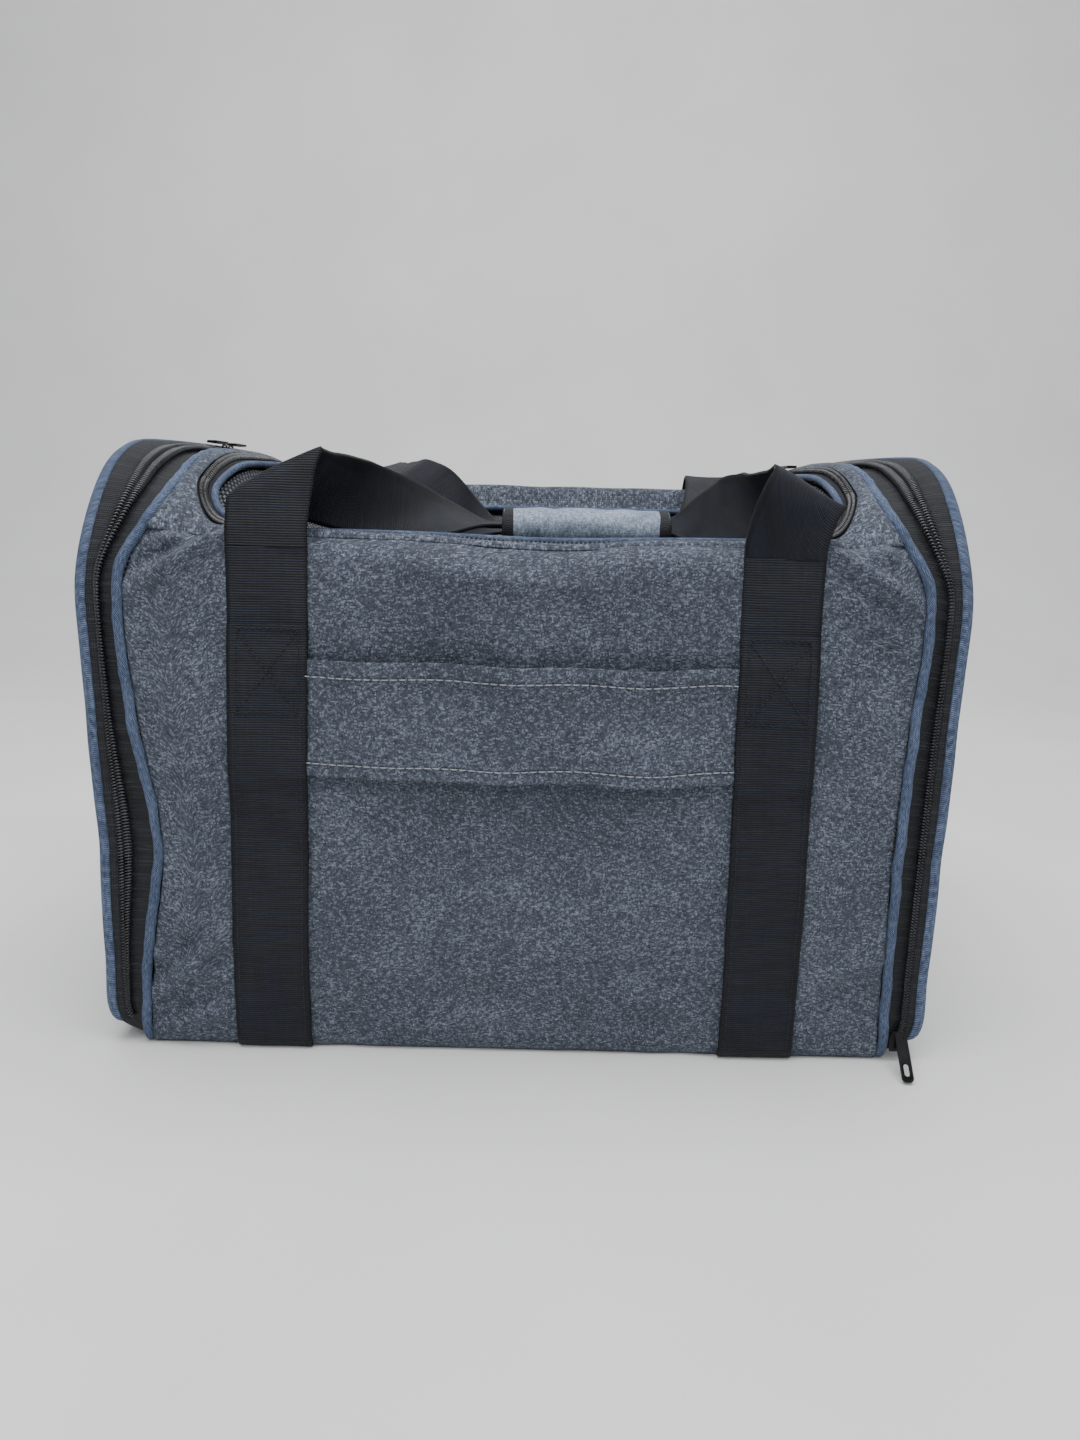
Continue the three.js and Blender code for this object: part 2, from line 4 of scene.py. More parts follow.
import bpy
import numpy as np
from mathutils import Euler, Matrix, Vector


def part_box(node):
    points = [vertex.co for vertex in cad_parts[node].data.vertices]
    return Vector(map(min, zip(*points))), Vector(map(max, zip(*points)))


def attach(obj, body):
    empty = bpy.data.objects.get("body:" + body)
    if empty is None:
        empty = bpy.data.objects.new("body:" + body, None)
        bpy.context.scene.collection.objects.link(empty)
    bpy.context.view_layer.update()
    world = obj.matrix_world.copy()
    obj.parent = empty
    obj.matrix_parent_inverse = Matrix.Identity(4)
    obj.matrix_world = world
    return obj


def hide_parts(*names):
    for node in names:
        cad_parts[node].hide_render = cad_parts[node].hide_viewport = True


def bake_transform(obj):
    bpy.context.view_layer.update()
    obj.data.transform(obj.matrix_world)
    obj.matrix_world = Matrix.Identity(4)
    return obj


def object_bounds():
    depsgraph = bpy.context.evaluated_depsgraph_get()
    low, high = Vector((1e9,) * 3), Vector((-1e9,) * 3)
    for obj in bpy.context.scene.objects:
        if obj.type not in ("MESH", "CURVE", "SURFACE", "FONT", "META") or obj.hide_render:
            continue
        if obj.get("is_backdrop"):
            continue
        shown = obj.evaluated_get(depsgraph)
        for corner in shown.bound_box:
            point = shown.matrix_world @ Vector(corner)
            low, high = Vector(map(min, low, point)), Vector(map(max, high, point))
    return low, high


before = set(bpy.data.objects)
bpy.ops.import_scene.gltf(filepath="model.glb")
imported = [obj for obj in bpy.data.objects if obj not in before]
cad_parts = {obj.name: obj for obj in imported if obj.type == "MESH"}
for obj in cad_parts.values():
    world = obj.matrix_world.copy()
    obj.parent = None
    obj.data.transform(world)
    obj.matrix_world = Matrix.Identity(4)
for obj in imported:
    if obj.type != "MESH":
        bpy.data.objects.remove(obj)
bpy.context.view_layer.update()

# ---------------------------------------------------------------- sizes, in metres

WALL_LOW, WALL_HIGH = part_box("front_panel")
HALF_DEPTH = -WALL_LOW.y
BODY_END = WALL_HIGH.x
ARCH_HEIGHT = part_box("top_surround")[1].z
FRONT_FOLD = 0.263
REAR_FOLD = 0.278
REAR_LIP = 0.009
LID_REAR_DROP = 0.0045
FOLD_RADIUS = 0.013
SHOULDER_RADIUS = 0.072
ARCH_START = 0.130
SEAM_Y = 0.126
CLOTH = 0.0016
OPENING_X = 0.181
OPENING_Y = 0.1225
OPENING_CORNER = 0.030
LID_SAG = 0.017
PIPING_X = sum(corner.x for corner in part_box("right_piping")) / 2
DOOR_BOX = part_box("right_door_border")
COIL_X = (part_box("right_body_zip_coil")[1].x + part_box("right_door_zip_coil")[0].x) / 2
WEBBING = 0.038
WEBBING_THICKNESS = 0.0018
TAPE_THICKNESS = 0.0009
MESH_THICKNESS = 0.0005
STRAP_X = 0.1245
SLEEVE_LOW, SLEEVE_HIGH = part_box("trolley_sleeve")

# How the soft body stands away from the plain CAD shape
WAIST_DEPTH = 0.0105
WAIST_HEIGHT = 0.112
END_LEAN = 0.0165
END_DIP = 0.0065
SHOULDER_DIP = 0.0085
DOOR_SLIM = 0.0050
DOOR_CROWN = 0.0050
FOOT_TUCK = 0.0100
FOOT_RADIUS = 0.014
FOOT_SHARE = 0.7
WALL_TUCK = 0.0032
WALL_BULGE = 0.0030
FOLD_RIDGE = 0.0046
FRONT_SAG = 0.0035
CREASE_GAIN = 2.0


# ---------------------------------------------------------------- small maths

def smooth(low, high, value):
    t = np.clip((value - low) / (high - low), 0, 1)
    return t * t * (3 - 2 * t)


def mix(a, b, t):
    return a + (b - a) * t


def hump(value, centre, width):
    return np.exp(-(((value - centre) / width) ** 2))


def waves(a, b, size, seed):
    """Smooth repeatable unevenness, from about -1 to 1, with features of the given size."""
    random = np.random.default_rng(seed)
    total = 0
    for _ in range(7):
        angle = random.uniform(0, 2 * math.pi)
        step = random.uniform(0.7, 1.6) * 2 * math.pi / size
        phase = random.uniform(0, 2 * math.pi)
        total = total + np.sin((a * math.cos(angle) + b * math.sin(angle)) * step + phase)
    return total / 4


def crease(a, b, start, end, width, depth):
    """A soft fold along a line: a ridge with a shallow valley on each side."""
    start, end = np.array(start), np.array(end)
    along = end - start
    length = np.linalg.norm(along)
    along = along / length
    u = (a - start[0]) * along[0] + (b - start[1]) * along[1]
    v = (b - start[1]) * along[0] - (a - start[0]) * along[1]
    fade = smooth(-0.25 * length, 0.3 * length, u) * (1 - smooth(0.7 * length, 1.25 * length, u))
    ridge = np.exp(-((v / width) ** 2)) - 0.45 * np.exp(-(((v - 1.6 * width) / width) ** 2))
    return CREASE_GAIN * depth * fade * ridge


# ---------------------------------------------------------------- the bag's shape

def arch_share(x):
    return smooth(ARCH_START, BODY_END, np.abs(x))


def corner_radius(x):
    return mix(FOLD_RADIUS, SHOULDER_RADIUS, arch_share(x))


def fold_height(x, side):
    fold = FRONT_FOLD if side < 0 else REAR_FOLD
    return mix(fold, ARCH_HEIGHT, arch_share(x))


def top_height(x, y):
    radius = corner_radius(x)
    start = HALF_DEPTH - radius
    flat = 1 - arch_share(x)
    front, rear = fold_height(x, -1), fold_height(x, 1) - LID_REAR_DROP * flat
    beyond = np.clip(np.abs(y) - start, 0, radius)
    drop = radius - np.sqrt(np.maximum(0, radius ** 2 - beyond ** 2))
    share = np.clip((y + start) / (2 * start), 0, 1)
    lip = (REAR_LIP + LID_REAR_DROP) * smooth(0.1150, 0.1250, y) * flat
    return mix(front, rear, share) - drop + lip


def lid_height(x, y):
    along = np.maximum(0, 1 - (x / OPENING_X) ** 2)
    over = np.maximum(0, 1 - (y / OPENING_Y) ** 2)
    return top_height(x, y) - LID_SAG * along * over


def settle(points):
    """The soft body's own shape: its left end has a waist, and both ends lean in at the top."""
    x, y, z = points[..., 0], points[..., 1], points[..., 2]
    size = np.abs(x)
    outer = smooth(0.197, 0.2125, size)
    end = smooth(0.150, 0.187, size) * (1 - 0.85 * smooth(0.193, 0.207, size))
    left = -WAIST_DEPTH * hump(z, WAIST_HEIGHT, 0.046) + 0.0016 * hump(z, 0.225, 0.030)
    right = -0.0008 * hump(z, 0.120, 0.060) + 0.0018 * hump(z, 0.222, 0.030)
    pull = np.where(x < 0, left, right) + 0.0016 * (1 - smooth(0.0, 0.05, z))
    slim = -DOOR_SLIM * smooth(0.197, 0.211, size)
    foot = -FOOT_TUCK * smooth(0.188, 0.203, size) * np.clip(1 - z / 0.026, 0, 1) ** 2
    held = 0.72 - 0.45 * smooth(-0.090, 0.010, y)
    lean = -END_LEAN * smooth(0.085, 0.187, size) * (1 - held * outer) * smooth(0.238, 0.292, z)
    dip = END_DIP * hump(np.abs(y), 0.086, 0.030) * smooth(0.130, 0.187, size)
    dip = dip * (1 - 0.85 * outer) * smooth(0.270, 0.290, z)
    corner = hump(size, 0.163, 0.022) * hump(y, -0.112, 0.028)
    corner = SHOULDER_DIP * corner * smooth(0.250, 0.272, z)
    crown = DOOR_CROWN * smooth(0.255, 0.300, z) * smooth(0.190, 0.209, size)
    away = end * pull + slim + foot + lean
    return np.stack([x + np.sign(x) * away, y, z - dip - corner + crown], axis=-1)


def foot_round(z):
    """How far the lower corners of an end are rounded in from the front and the rear."""
    tuck = np.clip(1 - z / FOOT_RADIUS, 0, 1)
    return FOOT_SHARE * FOOT_RADIUS * (1 - np.sqrt(np.maximum(0, 1 - tuck ** 2)))


def wall_tuck(s):
    """How far the foot of a long wall turns in under the bag, at a distance s up it."""
    return WALL_TUCK * np.clip(1 - s / 0.007, 0, 1) ** 2


def front_hang(x):
    """How far the middle of the front wall's top edge sags."""
    return FRONT_SAG * hump(x, 0.012, 0.05)


def wall_bulge(x, s, side):
    """How far the cloth of a long wall stands out at a distance s up it."""
    rise = np.clip(s / 0.262, 0, 1)
    held = 1 - arch_share(x)
    bulge = WALL_BULGE * np.sin(math.pi * rise ** 0.8) * held
    loose = 0.0017 * waves(x, s, 0.105, 3 + side)
    loose = loose * smooth(0, 0.03, s) * (1 - smooth(0.25, 0.28, s))
    fine = 0.00034 * waves(x, s, 0.035, 11 + side)
    folds = 0
    for start, end, width, depth in WALL_FOLDS[side]:
        folds = folds + crease(x, s, start, end, width, depth)
    return bulge + loose + fine * held + folds


# Creases of the front wall, -1, and the rear wall, 1: start and end as (x, height), width, depth
WALL_FOLDS = {
    -1: [
        ((-0.186, 0.030), (-0.148, 0.062), 0.0050, 0.0024),
        ((-0.187, 0.052), (-0.150, 0.040), 0.0045, 0.0018),
        ((-0.180, 0.012), (-0.150, 0.022), 0.0045, 0.0017),
        ((-0.184, 0.120), (-0.150, 0.140), 0.0060, 0.0012),
        ((0.184, 0.236), (0.150, 0.262), 0.0050, 0.0026),
        ((0.185, 0.212), (0.152, 0.246), 0.0050, 0.0016),
        ((-0.184, 0.238), (-0.150, 0.263), 0.0050, 0.0024),
        ((0.186, 0.060), (0.150, 0.042), 0.0055, 0.0014),
        ((-0.060, 0.250), (0.040, 0.244), 0.0060, 0.0011),
        ((0.020, 0.040), (0.095, 0.028), 0.0070, 0.0011),
    ],
    1: [
        ((-0.186, 0.040), (-0.150, 0.066), 0.0050, 0.0020),
        ((0.186, 0.050), (0.148, 0.034), 0.0050, 0.0020),
        ((0.184, 0.238), (0.150, 0.266), 0.0050, 0.0022),
        ((-0.184, 0.238), (-0.150, 0.266), 0.0050, 0.0022),
        ((-0.080, 0.120), (0.030, 0.100), 0.0080, 0.0012),
    ],
}


def wall_top(x, side):
    """The height of a long wall's top fold. The rear wall stands above the lid."""
    return fold_height(x, side) + (REAR_LIP * (1 - arch_share(x)) if side > 0 else 0)


def wall_point(x, s, side, lift=0.0):
    """A place on a long wall's outer face, s up from its foot, lifted off it."""
    x, s = np.broadcast_arrays(x, s)
    radius = corner_radius(x)
    height = wall_top(x, side)
    straight = height - radius
    angle = np.clip((s - straight) / radius, 0, math.pi / 2)
    level = straight + radius * np.sin(angle)
    tuck = smooth(0.132, 0.150, np.abs(x)) * (1 - smooth(0.176, 0.186, np.abs(x)))
    tuck = tuck * (1 + 0.35 * waves(x, 0 * x, 0.030, 61))
    below = level - wall_top(0, side) + 0.001
    ridge = FOLD_RIDGE * np.exp(-np.abs(below / 0.0055) ** 1.6) * tuck
    stand = lift + ridge - wall_tuck(s) + wall_bulge(x, s, side)
    y = HALF_DEPTH - radius + (radius + stand) * np.cos(angle)
    z = np.minimum(s, straight) + (radius + stand) * np.sin(angle)
    sag = front_hang(x) * smooth(0.20, 0.262, s) if side < 0 else 0
    return settle(np.stack([x, side * y, z - sag], axis=-1))


def wall_length(x, side):
    """How far up the wall's cloth the seam with the top lies."""
    radius = corner_radius(x)
    end = np.arccos(np.clip((radius - (HALF_DEPTH - SEAM_Y)) / radius, -1, 1))
    return wall_top(x, side) - radius + radius * end


def arch_point(t, x, inset, foot=0.0):
    """A place round an end's arch, from the front foot, 0, to the rear foot, 1."""
    t, x, inset = np.broadcast_arrays(t, x, inset)
    radius = SHOULDER_RADIUS - inset
    side = HALF_DEPTH - inset
    shoulder = ARCH_HEIGHT - SHOULDER_RADIUS
    turn = side - radius
    upright = shoulder - foot
    bend = radius * math.pi / 2
    total = upright + bend + turn
    far = t > 0.5
    travelled = np.where(far, 1 - t, t) * 2 * total
    angle = np.clip((travelled - upright) / bend, 0, 1) * math.pi / 2
    z = foot + np.minimum(travelled, upright) + radius * np.sin(angle)
    flat = np.clip(travelled - upright - bend, 0, None)
    y = turn + radius * np.cos(angle) - flat
    y = y - foot_round(z)
    return settle(np.stack([x, np.where(far, y, -y), z], axis=-1))


def rim_point(inset, share):
    """A place round the lid's opening, from 0 to 1, starting at the middle of the rear."""
    share, inset = np.broadcast_arrays(np.asarray(share, float) % 1, inset)
    hx, hy = OPENING_X - inset, OPENING_Y - inset
    corner = np.maximum(0.002, OPENING_CORNER - inset)
    quarter = np.floor(share * 4)
    part = share * 4 - quarter
    t = np.where(quarter % 2 == 1, 1 - part, part)
    straight, bend = 3 / 7, 5 / 7
    angle = math.pi / 2 * (1 - np.clip((t - straight) / (bend - straight), 0, 1))
    x = np.where(t < straight, (hx - corner) * t / straight, hx - corner + corner * np.cos(angle))
    x = np.where(t >= bend, hx, x)
    y = np.where(t < straight, hy, hy - corner + corner * np.sin(angle))
    y = np.where(t >= bend, (hy - corner) * (1 - (t - bend) / (1 - bend)), y)
    return np.where(quarter < 2, x, -x), np.where((quarter == 0) | (quarter == 3), y, -y)


# ---------------------------------------------------------------- materials

class Graph:
    """A material's node tree, with short calls for the nodes that the cloths share."""

    def __init__(self, name):
        self.material = bpy.data.materials.new(name)
        self.material.use_nodes = True
        self.tree = self.material.node_tree
        self.shader = self.tree.nodes["Principled BSDF"]

    def put(self, socket, value):
        """Links another node's output to a socket, or sets the socket to a plain value."""
        if isinstance(value, bpy.types.NodeSocket):
            self.tree.links.new(value, socket)
        elif value is not None:
            socket.default_value = value

    def add(self, kind, *inputs, named={}, **settings):
        node = self.tree.nodes.new(kind)
        for key, value in settings.items():
            setattr(node, key, value)
        for socket, value in zip(node.inputs, inputs):
            self.put(socket, value)
        for key, value in named.items():
            self.put(node.inputs[key], value)
        return node

    def math(self, operation, a, b=None):
        return self.add("ShaderNodeMath", a, b, operation=operation).outputs[0]

    def plus(self, a, b):
        return self.math("ADD", a, b)

    def times(self, a, b):
        return self.math("MULTIPLY", a, b)

    def over(self, a, b):
        return self.math("DIVIDE", a, b)

    def weigh(self, *parts):
        """The sum of (value, weight) pairs."""
        total = self.times(*parts[0])
        for value, weight in parts[1:]:
            total = self.plus(total, self.times(value, weight))
        return total

    def place(self):
        """Distance across and along the cloth, in metres."""
        split = self.add("ShaderNodeSeparateXYZ", self.add("ShaderNodeUVMap").outputs[0])
        return split.outputs[0], split.outputs[1]

    def join(self, x, y, z=0.0):
        return self.add("ShaderNodeCombineXYZ", x, y, z).outputs[0]

    def noise(self, vector, scale=1.0, detail=2.0, roughness=0.5):
        node = self.add("ShaderNodeTexNoise", noise_dimensions="3D", named={
            "Vector": vector, "Scale": scale, "Detail": detail, "Roughness": roughness,
        })
        return node.outputs["Fac"]

    def streaks(self, x, y, wide, long, detail=1.0):
        """Uneven threads that run along y."""
        return self.noise(self.join(self.over(x, wide), self.over(y, long)), detail=detail)

    def wave(self, value, pitch):
        return self.math("SINE", self.times(value, 2 * math.pi / pitch))

    def stretch(self, value, low, high, to_low=0.0, to_high=1.0):
        return self.add("ShaderNodeMapRange", value, low, high, to_low, to_high).outputs[0]

    def ramp(self, value, *stops):
        node = self.add("ShaderNodeValToRGB", value)
        elements = node.color_ramp.elements
        while len(elements) < len(stops):
            elements.new(0.5)
        for element, (position, colour) in zip(elements, stops):
            element.position = position
            element.color = colour
        return node.outputs[0]

    def finish(self, colour, height=None, depth=0.0003, strength=0.6, **sockets):
        self.put(self.shader.inputs["Base Color"], colour)
        if height is not None:
            bump = self.add("ShaderNodeBump", named={
                "Height": height, "Distance": depth, "Strength": strength,
            })
            self.put(self.shader.inputs["Normal"], bump.outputs[0])
        for key, value in sockets.items():
            name = key.replace("_", " ").title().replace("Ior", "IOR")
            self.put(self.shader.inputs[name], value)
        return self.material


def srgb(red, green, blue):
    """A colour given as 0 to 255 screen values."""
    linear = [
        c / 12.92 if c <= 0.04045 else ((c + 0.055) / 1.055) ** 2.4
        for c in (value / 255 for value in (red, green, blue))
    ]
    return (*linear, 1.0)


def woven(name, dark, middle, light, cloud=0.10):
    """Two-tone plain weave: threads of uneven tone pass over and under each other."""
    thread, slub, rough, broad_share = 0.00072, 0.0024, 0.88, 0.12
    g = Graph(name)
    across, along = g.place()
    column = g.math("FLOOR", g.over(across, thread))
    row = g.math("FLOOR", g.over(along, thread))
    weft = g.noise(g.join(g.over(across, slub), g.times(row, 3.7)), detail=1)
    warp = g.noise(g.join(g.over(along, slub), g.times(column, 3.7), 9.0), detail=1)
    cross = g.times(g.wave(across, 2 * thread), g.wave(along, 2 * thread))
    over = g.stretch(cross, -0.2, 0.2, 0.25, 1.0)
    patch = g.noise(g.join(across, along), scale=70, detail=1)
    broad = g.noise(g.join(along, across), scale=17, detail=1)
    tone = g.weigh(
        (weft, over), (warp, g.math("SUBTRACT", 1.0, over)), (patch, cloud), (broad, broad_share),
    )
    centre = (1 + cloud + broad_share) / 2
    tone = g.stretch(tone, centre - 0.31, centre + 0.33)
    colour = g.ramp(tone, (0.10, dark), (0.48, middle), (0.90, light))
    height = g.plus(g.math("ABSOLUTE", cross), g.times(weft, 1.2))
    return g.finish(
        colour, height, depth=0.00035, strength=0.5,
        roughness=g.stretch(patch, 0.3, 0.7, rough - 0.06, rough + 0.08),
    )


def make_webbing():
    """Ribbed webbing: even ribs across it, a plain edge, and long soft bands of painted sheen that
    lighten its colour and also vary its roughness.
    """
    g = Graph("black_webbing")
    across, along = g.place()
    wobble = g.times(g.noise(g.join(across, along), scale=60), 0.0005)
    rib = g.wave(g.plus(along, wobble), 0.00118)
    yarn = g.streaks(along, across, 0.0008, 0.020)
    warp = g.streaks(across, along, 0.0007, 0.030)
    # band: long soft bands of painted sheen, lighter in the colour; the same noise also sets the
    # roughness
    band = g.noise(g.join(g.times(across, 14), g.times(along, 42)), detail=2)
    edge = g.math("ABSOLUTE", g.math("SUBTRACT", across, WEBBING / 2))
    selvedge = g.stretch(edge, WEBBING / 2 - 0.0024, WEBBING / 2 - 0.0012)
    # the band's share of the tone is painted sheen; yarn, ribs and the darker selvedge are the webbing's
    # own colour
    tone = g.weigh((rib, 0.20), (yarn, 0.36), (warp, 0.24), (band, 0.40), (selvedge, -0.10))
    colour = g.ramp(
        tone, (0.28, srgb(4, 5, 9)), (0.50, srgb(10, 13, 21)), (0.78, srgb(40, 47, 63)),
    )
    return g.finish(
        colour, g.plus(rib, g.times(yarn, 0.5)), depth=0.0004,
        roughness=g.stretch(band, 0.3, 0.7, 0.5, 0.66),
        sheen_weight=0.03, sheen_roughness=0.35, specular_ior_level=0.28,
    )


def make_tape():
    """Zipper tape: a fine close rib along it."""
    g = Graph("zipper_tape")
    across, along = g.place()
    rib = g.wave(across, 0.0011)
    cross = g.wave(g.plus(along, g.times(rib, 0.0002)), 0.0009)
    yarn = g.streaks(across, along, 0.0008, 0.02, detail=2)
    tone = g.plus(yarn, g.times(g.times(rib, cross), 0.18))
    colour = g.ramp(
        tone, (0.3, srgb(17, 18, 21)), (0.55, srgb(31, 33, 38)), (0.8, srgb(70, 73, 80)),
    )
    return g.finish(
        colour, g.plus(rib, g.times(cross, 0.6)), roughness=g.stretch(yarn, 0.3, 0.7, 0.72, 0.9),
    )


def make_denim():
    """Blue twill: diagonal lines with short pale threads."""
    g = Graph("denim_trim")
    across, along = g.place()
    twill = g.wave(g.plus(across, along), 0.0010)
    white = g.streaks(across, along, 0.0006, 0.003)
    fade = g.noise(g.join(across, along), scale=45, detail=1)
    tone = g.weigh((twill, 0.13), (white, 0.55), (fade, 0.25))
    colour = g.ramp(
        tone, (0.20, srgb(38, 48, 70)), (0.40, srgb(70, 86, 116)), (0.64, srgb(132, 148, 176)),
    )
    return g.finish(
        colour, g.plus(twill, white), roughness=g.stretch(white, 0.3, 0.7, 0.78, 0.92),
    )


def make_mesh_cloth():
    """Knitted mesh: rows of small open holes in black yarn."""
    g = Graph("knitted_mesh")
    across, along = g.place()
    pitch = 0.0026
    turn = 2 * math.pi / pitch
    shift = g.times(g.math("ROUND", g.over(along, pitch)), pitch / 2)
    column = g.math("COSINE", g.times(g.plus(across, shift), turn))
    row = g.math("COSINE", g.times(along, turn))
    hole = g.stretch(g.plus(column, row), 0.35, 0.75)
    yarn = g.streaks(across, along, 0.0012, 0.006, detail=2)
    tone = g.weigh((yarn, 0.6), (g.stretch(column, -0.9, 0.4, 1.0, 0.0), 0.4))
    colour = g.ramp(
        tone, (0.25, srgb(13, 14, 17)), (0.5, srgb(34, 37, 43)), (0.8, srgb(104, 110, 122)),
    )
    return g.finish(
        colour, g.math("SUBTRACT", g.times(yarn, 0.5), hole), depth=0.0004,
        roughness=g.stretch(yarn, 0.3, 0.7, 0.6, 0.85),
        alpha=g.math("SUBTRACT", 1.0, g.times(hole, 0.8)),
    )


def make_thread(name, dark, light):
    """Sewing thread, twisted."""
    g = Graph(name)
    across, along = g.place()
    twist = g.wave(g.plus(g.times(across, 2), along), 0.0006)
    colour = g.ramp(g.stretch(twist, -1, 1), (0.1, dark), (0.9, light))
    return g.finish(colour, twist, depth=0.0001, roughness=g.stretch(twist, -1, 1, 0.5, 0.75))


def object_noise(g, scale, detail):
    return g.noise(g.add("ShaderNodeTexCoord").outputs["Object"], scale=scale, detail=detail)


def make_solid(name, dark, light, scale, rough, depth=0.00005, **sockets):
    """Plastic or painted metal with a fine grain and slight unevenness."""
    g = Graph(name)
    grain = object_noise(g, scale, 4.0)
    broad = object_noise(g, scale / 12, 2.0)
    colour = g.ramp(g.weigh((grain, 0.4), (broad, 0.6)), (0.35, dark), (0.65, light))
    return g.finish(
        colour, grain, depth=depth, strength=0.4,
        roughness=g.stretch(broad, 0.3, 0.7, *rough), **sockets,
    )


def make_fleece():
    """Pale fleece: short tufts."""
    g = Graph("fleece")
    across, along = g.place()
    tuft = g.noise(g.join(across, along), scale=420, detail=4, roughness=0.7)
    cloud = g.noise(g.join(across, along), scale=40, detail=2)
    colour = g.ramp(
        g.weigh((tuft, 0.7), (cloud, 0.3)),
        (0.3, srgb(120, 124, 132)), (0.55, srgb(172, 175, 181)), (0.8, srgb(212, 214, 218)),
    )
    return g.finish(
        colour, tuft, depth=0.0016, strength=0.8, roughness=g.stretch(tuft, 0.3, 0.7, 0.9, 1.0),
        sheen_weight=0.5, sheen_roughness=0.5,
    )


HEATHER = woven("heather_fabric", srgb(32, 37, 47), srgb(70, 77, 90), srgb(146, 155, 170))
GRIP_CLOTH = woven("grip_fabric", srgb(92, 104, 122), srgb(134, 147, 166), srgb(190, 200, 214), cloud=0.3)
WEB = make_webbing()
TAPE = make_tape()
DENIM = make_denim()
MESH = make_mesh_cloth()
PALE_THREAD = make_thread("pale_thread", srgb(120, 126, 136), srgb(205, 208, 214))
BLACK_THREAD = make_thread("black_thread", srgb(12, 13, 16), srgb(46, 48, 55))
COIL = make_solid(
    "nylon_coil", srgb(15, 16, 19), srgb(50, 52, 58), 900, (0.24, 0.4), specular_ior_level=0.9,
)
METAL = make_solid(
    "black_metal", srgb(12, 12, 14), srgb(40, 40, 43), 700, (0.28, 0.5), metallic=0.55,
)
BOARD = make_solid(
    "base_board", srgb(36, 38, 42), srgb(52, 54, 59), 1400, (0.55, 0.75), depth=0.0001,
)
STEEL = make_solid(
    "hoop_steel", srgb(74, 76, 80), srgb(112, 114, 118), 600, (0.25, 0.42), metallic=0.9,
)
FLEECE = make_fleece()


# ---------------------------------------------------------------- mesh making

def make_object(name, points, faces, uvs, material, body, slot, replaced=()):
    """A piece from vertices, faces and one UV for each vertex. It rides on a body, if one is given."""
    mesh = bpy.data.meshes.new(name)
    faces = faces.tolist() if isinstance(faces, np.ndarray) else faces
    mesh.from_pydata(np.asarray(points, float).reshape(-1, 3).tolist(), [], faces)
    corners = np.fromiter((i for face in faces for i in face), int)
    layer = mesh.uv_layers.new(name="UVMap")
    layer.data.foreach_set("uv", np.asarray(uvs, np.float32)[corners].ravel())
    mesh.polygons.foreach_set("use_smooth", [True] * len(mesh.polygons))
    mesh.materials.append(material)
    piece = bpy.data.objects.new(name, mesh)
    bpy.context.scene.collection.objects.link(piece)
    if body:
        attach(piece, body)
    if replaced:
        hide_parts(*replaced)
    return piece


def lengths(points, axis):
    """Distance travelled along one axis of a grid of points."""
    step = np.linalg.norm(np.diff(points, axis=axis), axis=-1)
    start = np.zeros_like(np.take(step, [0], axis=axis))
    return np.concatenate([start, np.cumsum(step, axis=axis)], axis=axis)


def grid_normals(points, loop):
    """The way that a grid of points faces, at each of them."""
    if loop:
        padded = np.concatenate([points[:, -1:], points, points[:, :1]], axis=1)
        du = (padded[:, 2:] - padded[:, :-2]) / 2
    else:
        du = np.gradient(points, axis=1)
    normal = np.cross(du, np.gradient(points, axis=0))
    size = np.linalg.norm(normal, axis=-1, keepdims=True)
    return normal / np.maximum(size, 1e-12)


def sheet_mesh(surface, columns, rows, thickness, loop=False, flip=False):
    """Points, faces and UVs of a closed sheet: its face is surface(u, v), its back lies under it."""
    face = surface(*np.meshgrid(np.linspace(0, 1, columns + 1), np.linspace(0, 1, rows + 1)))
    uv = np.stack([lengths(face, 1), lengths(face, 0)], axis=-1)
    if loop:
        face, uv = face[:, :-1], uv[:, :-1]
    normal = grid_normals(face, loop) * (-1 if flip else 1)
    back = face - normal * thickness
    height, width = face.shape[:2]
    index = np.arange(height * width).reshape(height, width)
    right = np.roll(index, -1, axis=1) if loop else index[:, 1:]
    left = index if loop else index[:, :-1]
    front_faces = np.stack([left[:-1], right[:-1], right[1:], left[1:]], -1).reshape(-1, 4)
    offset = height * width
    back_faces = front_faces[:, ::-1] + offset
    edges = [
        np.stack([left[0], left[0] + offset, right[0] + offset, right[0]], -1),
        np.stack([left[-1], right[-1], right[-1] + offset, left[-1] + offset], -1),
    ]
    if not loop:
        first, last = index[:, 0], index[:, -1]
        edges.append(np.stack([first[:-1], first[1:], first[1:] + offset, first[:-1] + offset], -1))
        edges.append(np.stack([last[:-1], last[:-1] + offset, last[1:] + offset, last[1:]], -1))
    faces = np.concatenate([front_faces, back_faces] + [e.reshape(-1, 4) for e in edges])
    if flip:
        faces = faces[:, ::-1]
    points = np.concatenate([face.reshape(-1, 3), back.reshape(-1, 3)])
    uvs = np.tile(uv.reshape(-1, 2), (2, 1))
    return points, faces, uvs


def sheet(
    name, surface, columns, rows, thickness, material, body, slot, replaced=(), uv_of=None, **options,
):
    """A piece of cloth. uv_of(points) gives its UVs in place of the distances along it."""
    points, faces, uvs = sheet_mesh(surface, columns, rows, thickness, **options)
    if uv_of:
        uvs = uv_of(points)
    return make_object(name, points, faces, uvs, material, body, slot, replaced)


def planar(a, b):
    """UVs taken straight from two of the axes."""
    return lambda points: np.stack([points[..., a] + 1, points[..., b] + 1], -1)


def frames_along(path, loop, hint):
    """Tangent, side and up directions for each point of a path, without twist."""
    if loop:
        tangent = np.roll(path, -1, axis=0) - np.roll(path, 1, axis=0)
    else:
        tangent = np.gradient(path, axis=0)
    tangent /= np.linalg.norm(tangent, axis=1, keepdims=True)
    up = np.empty_like(tangent)
    current = np.array(hint, float)
    for i, direction in enumerate(tangent):
        current = current - direction * current.dot(direction)
        current /= np.linalg.norm(current)
        up[i] = current
    return tangent, np.cross(tangent, up), up


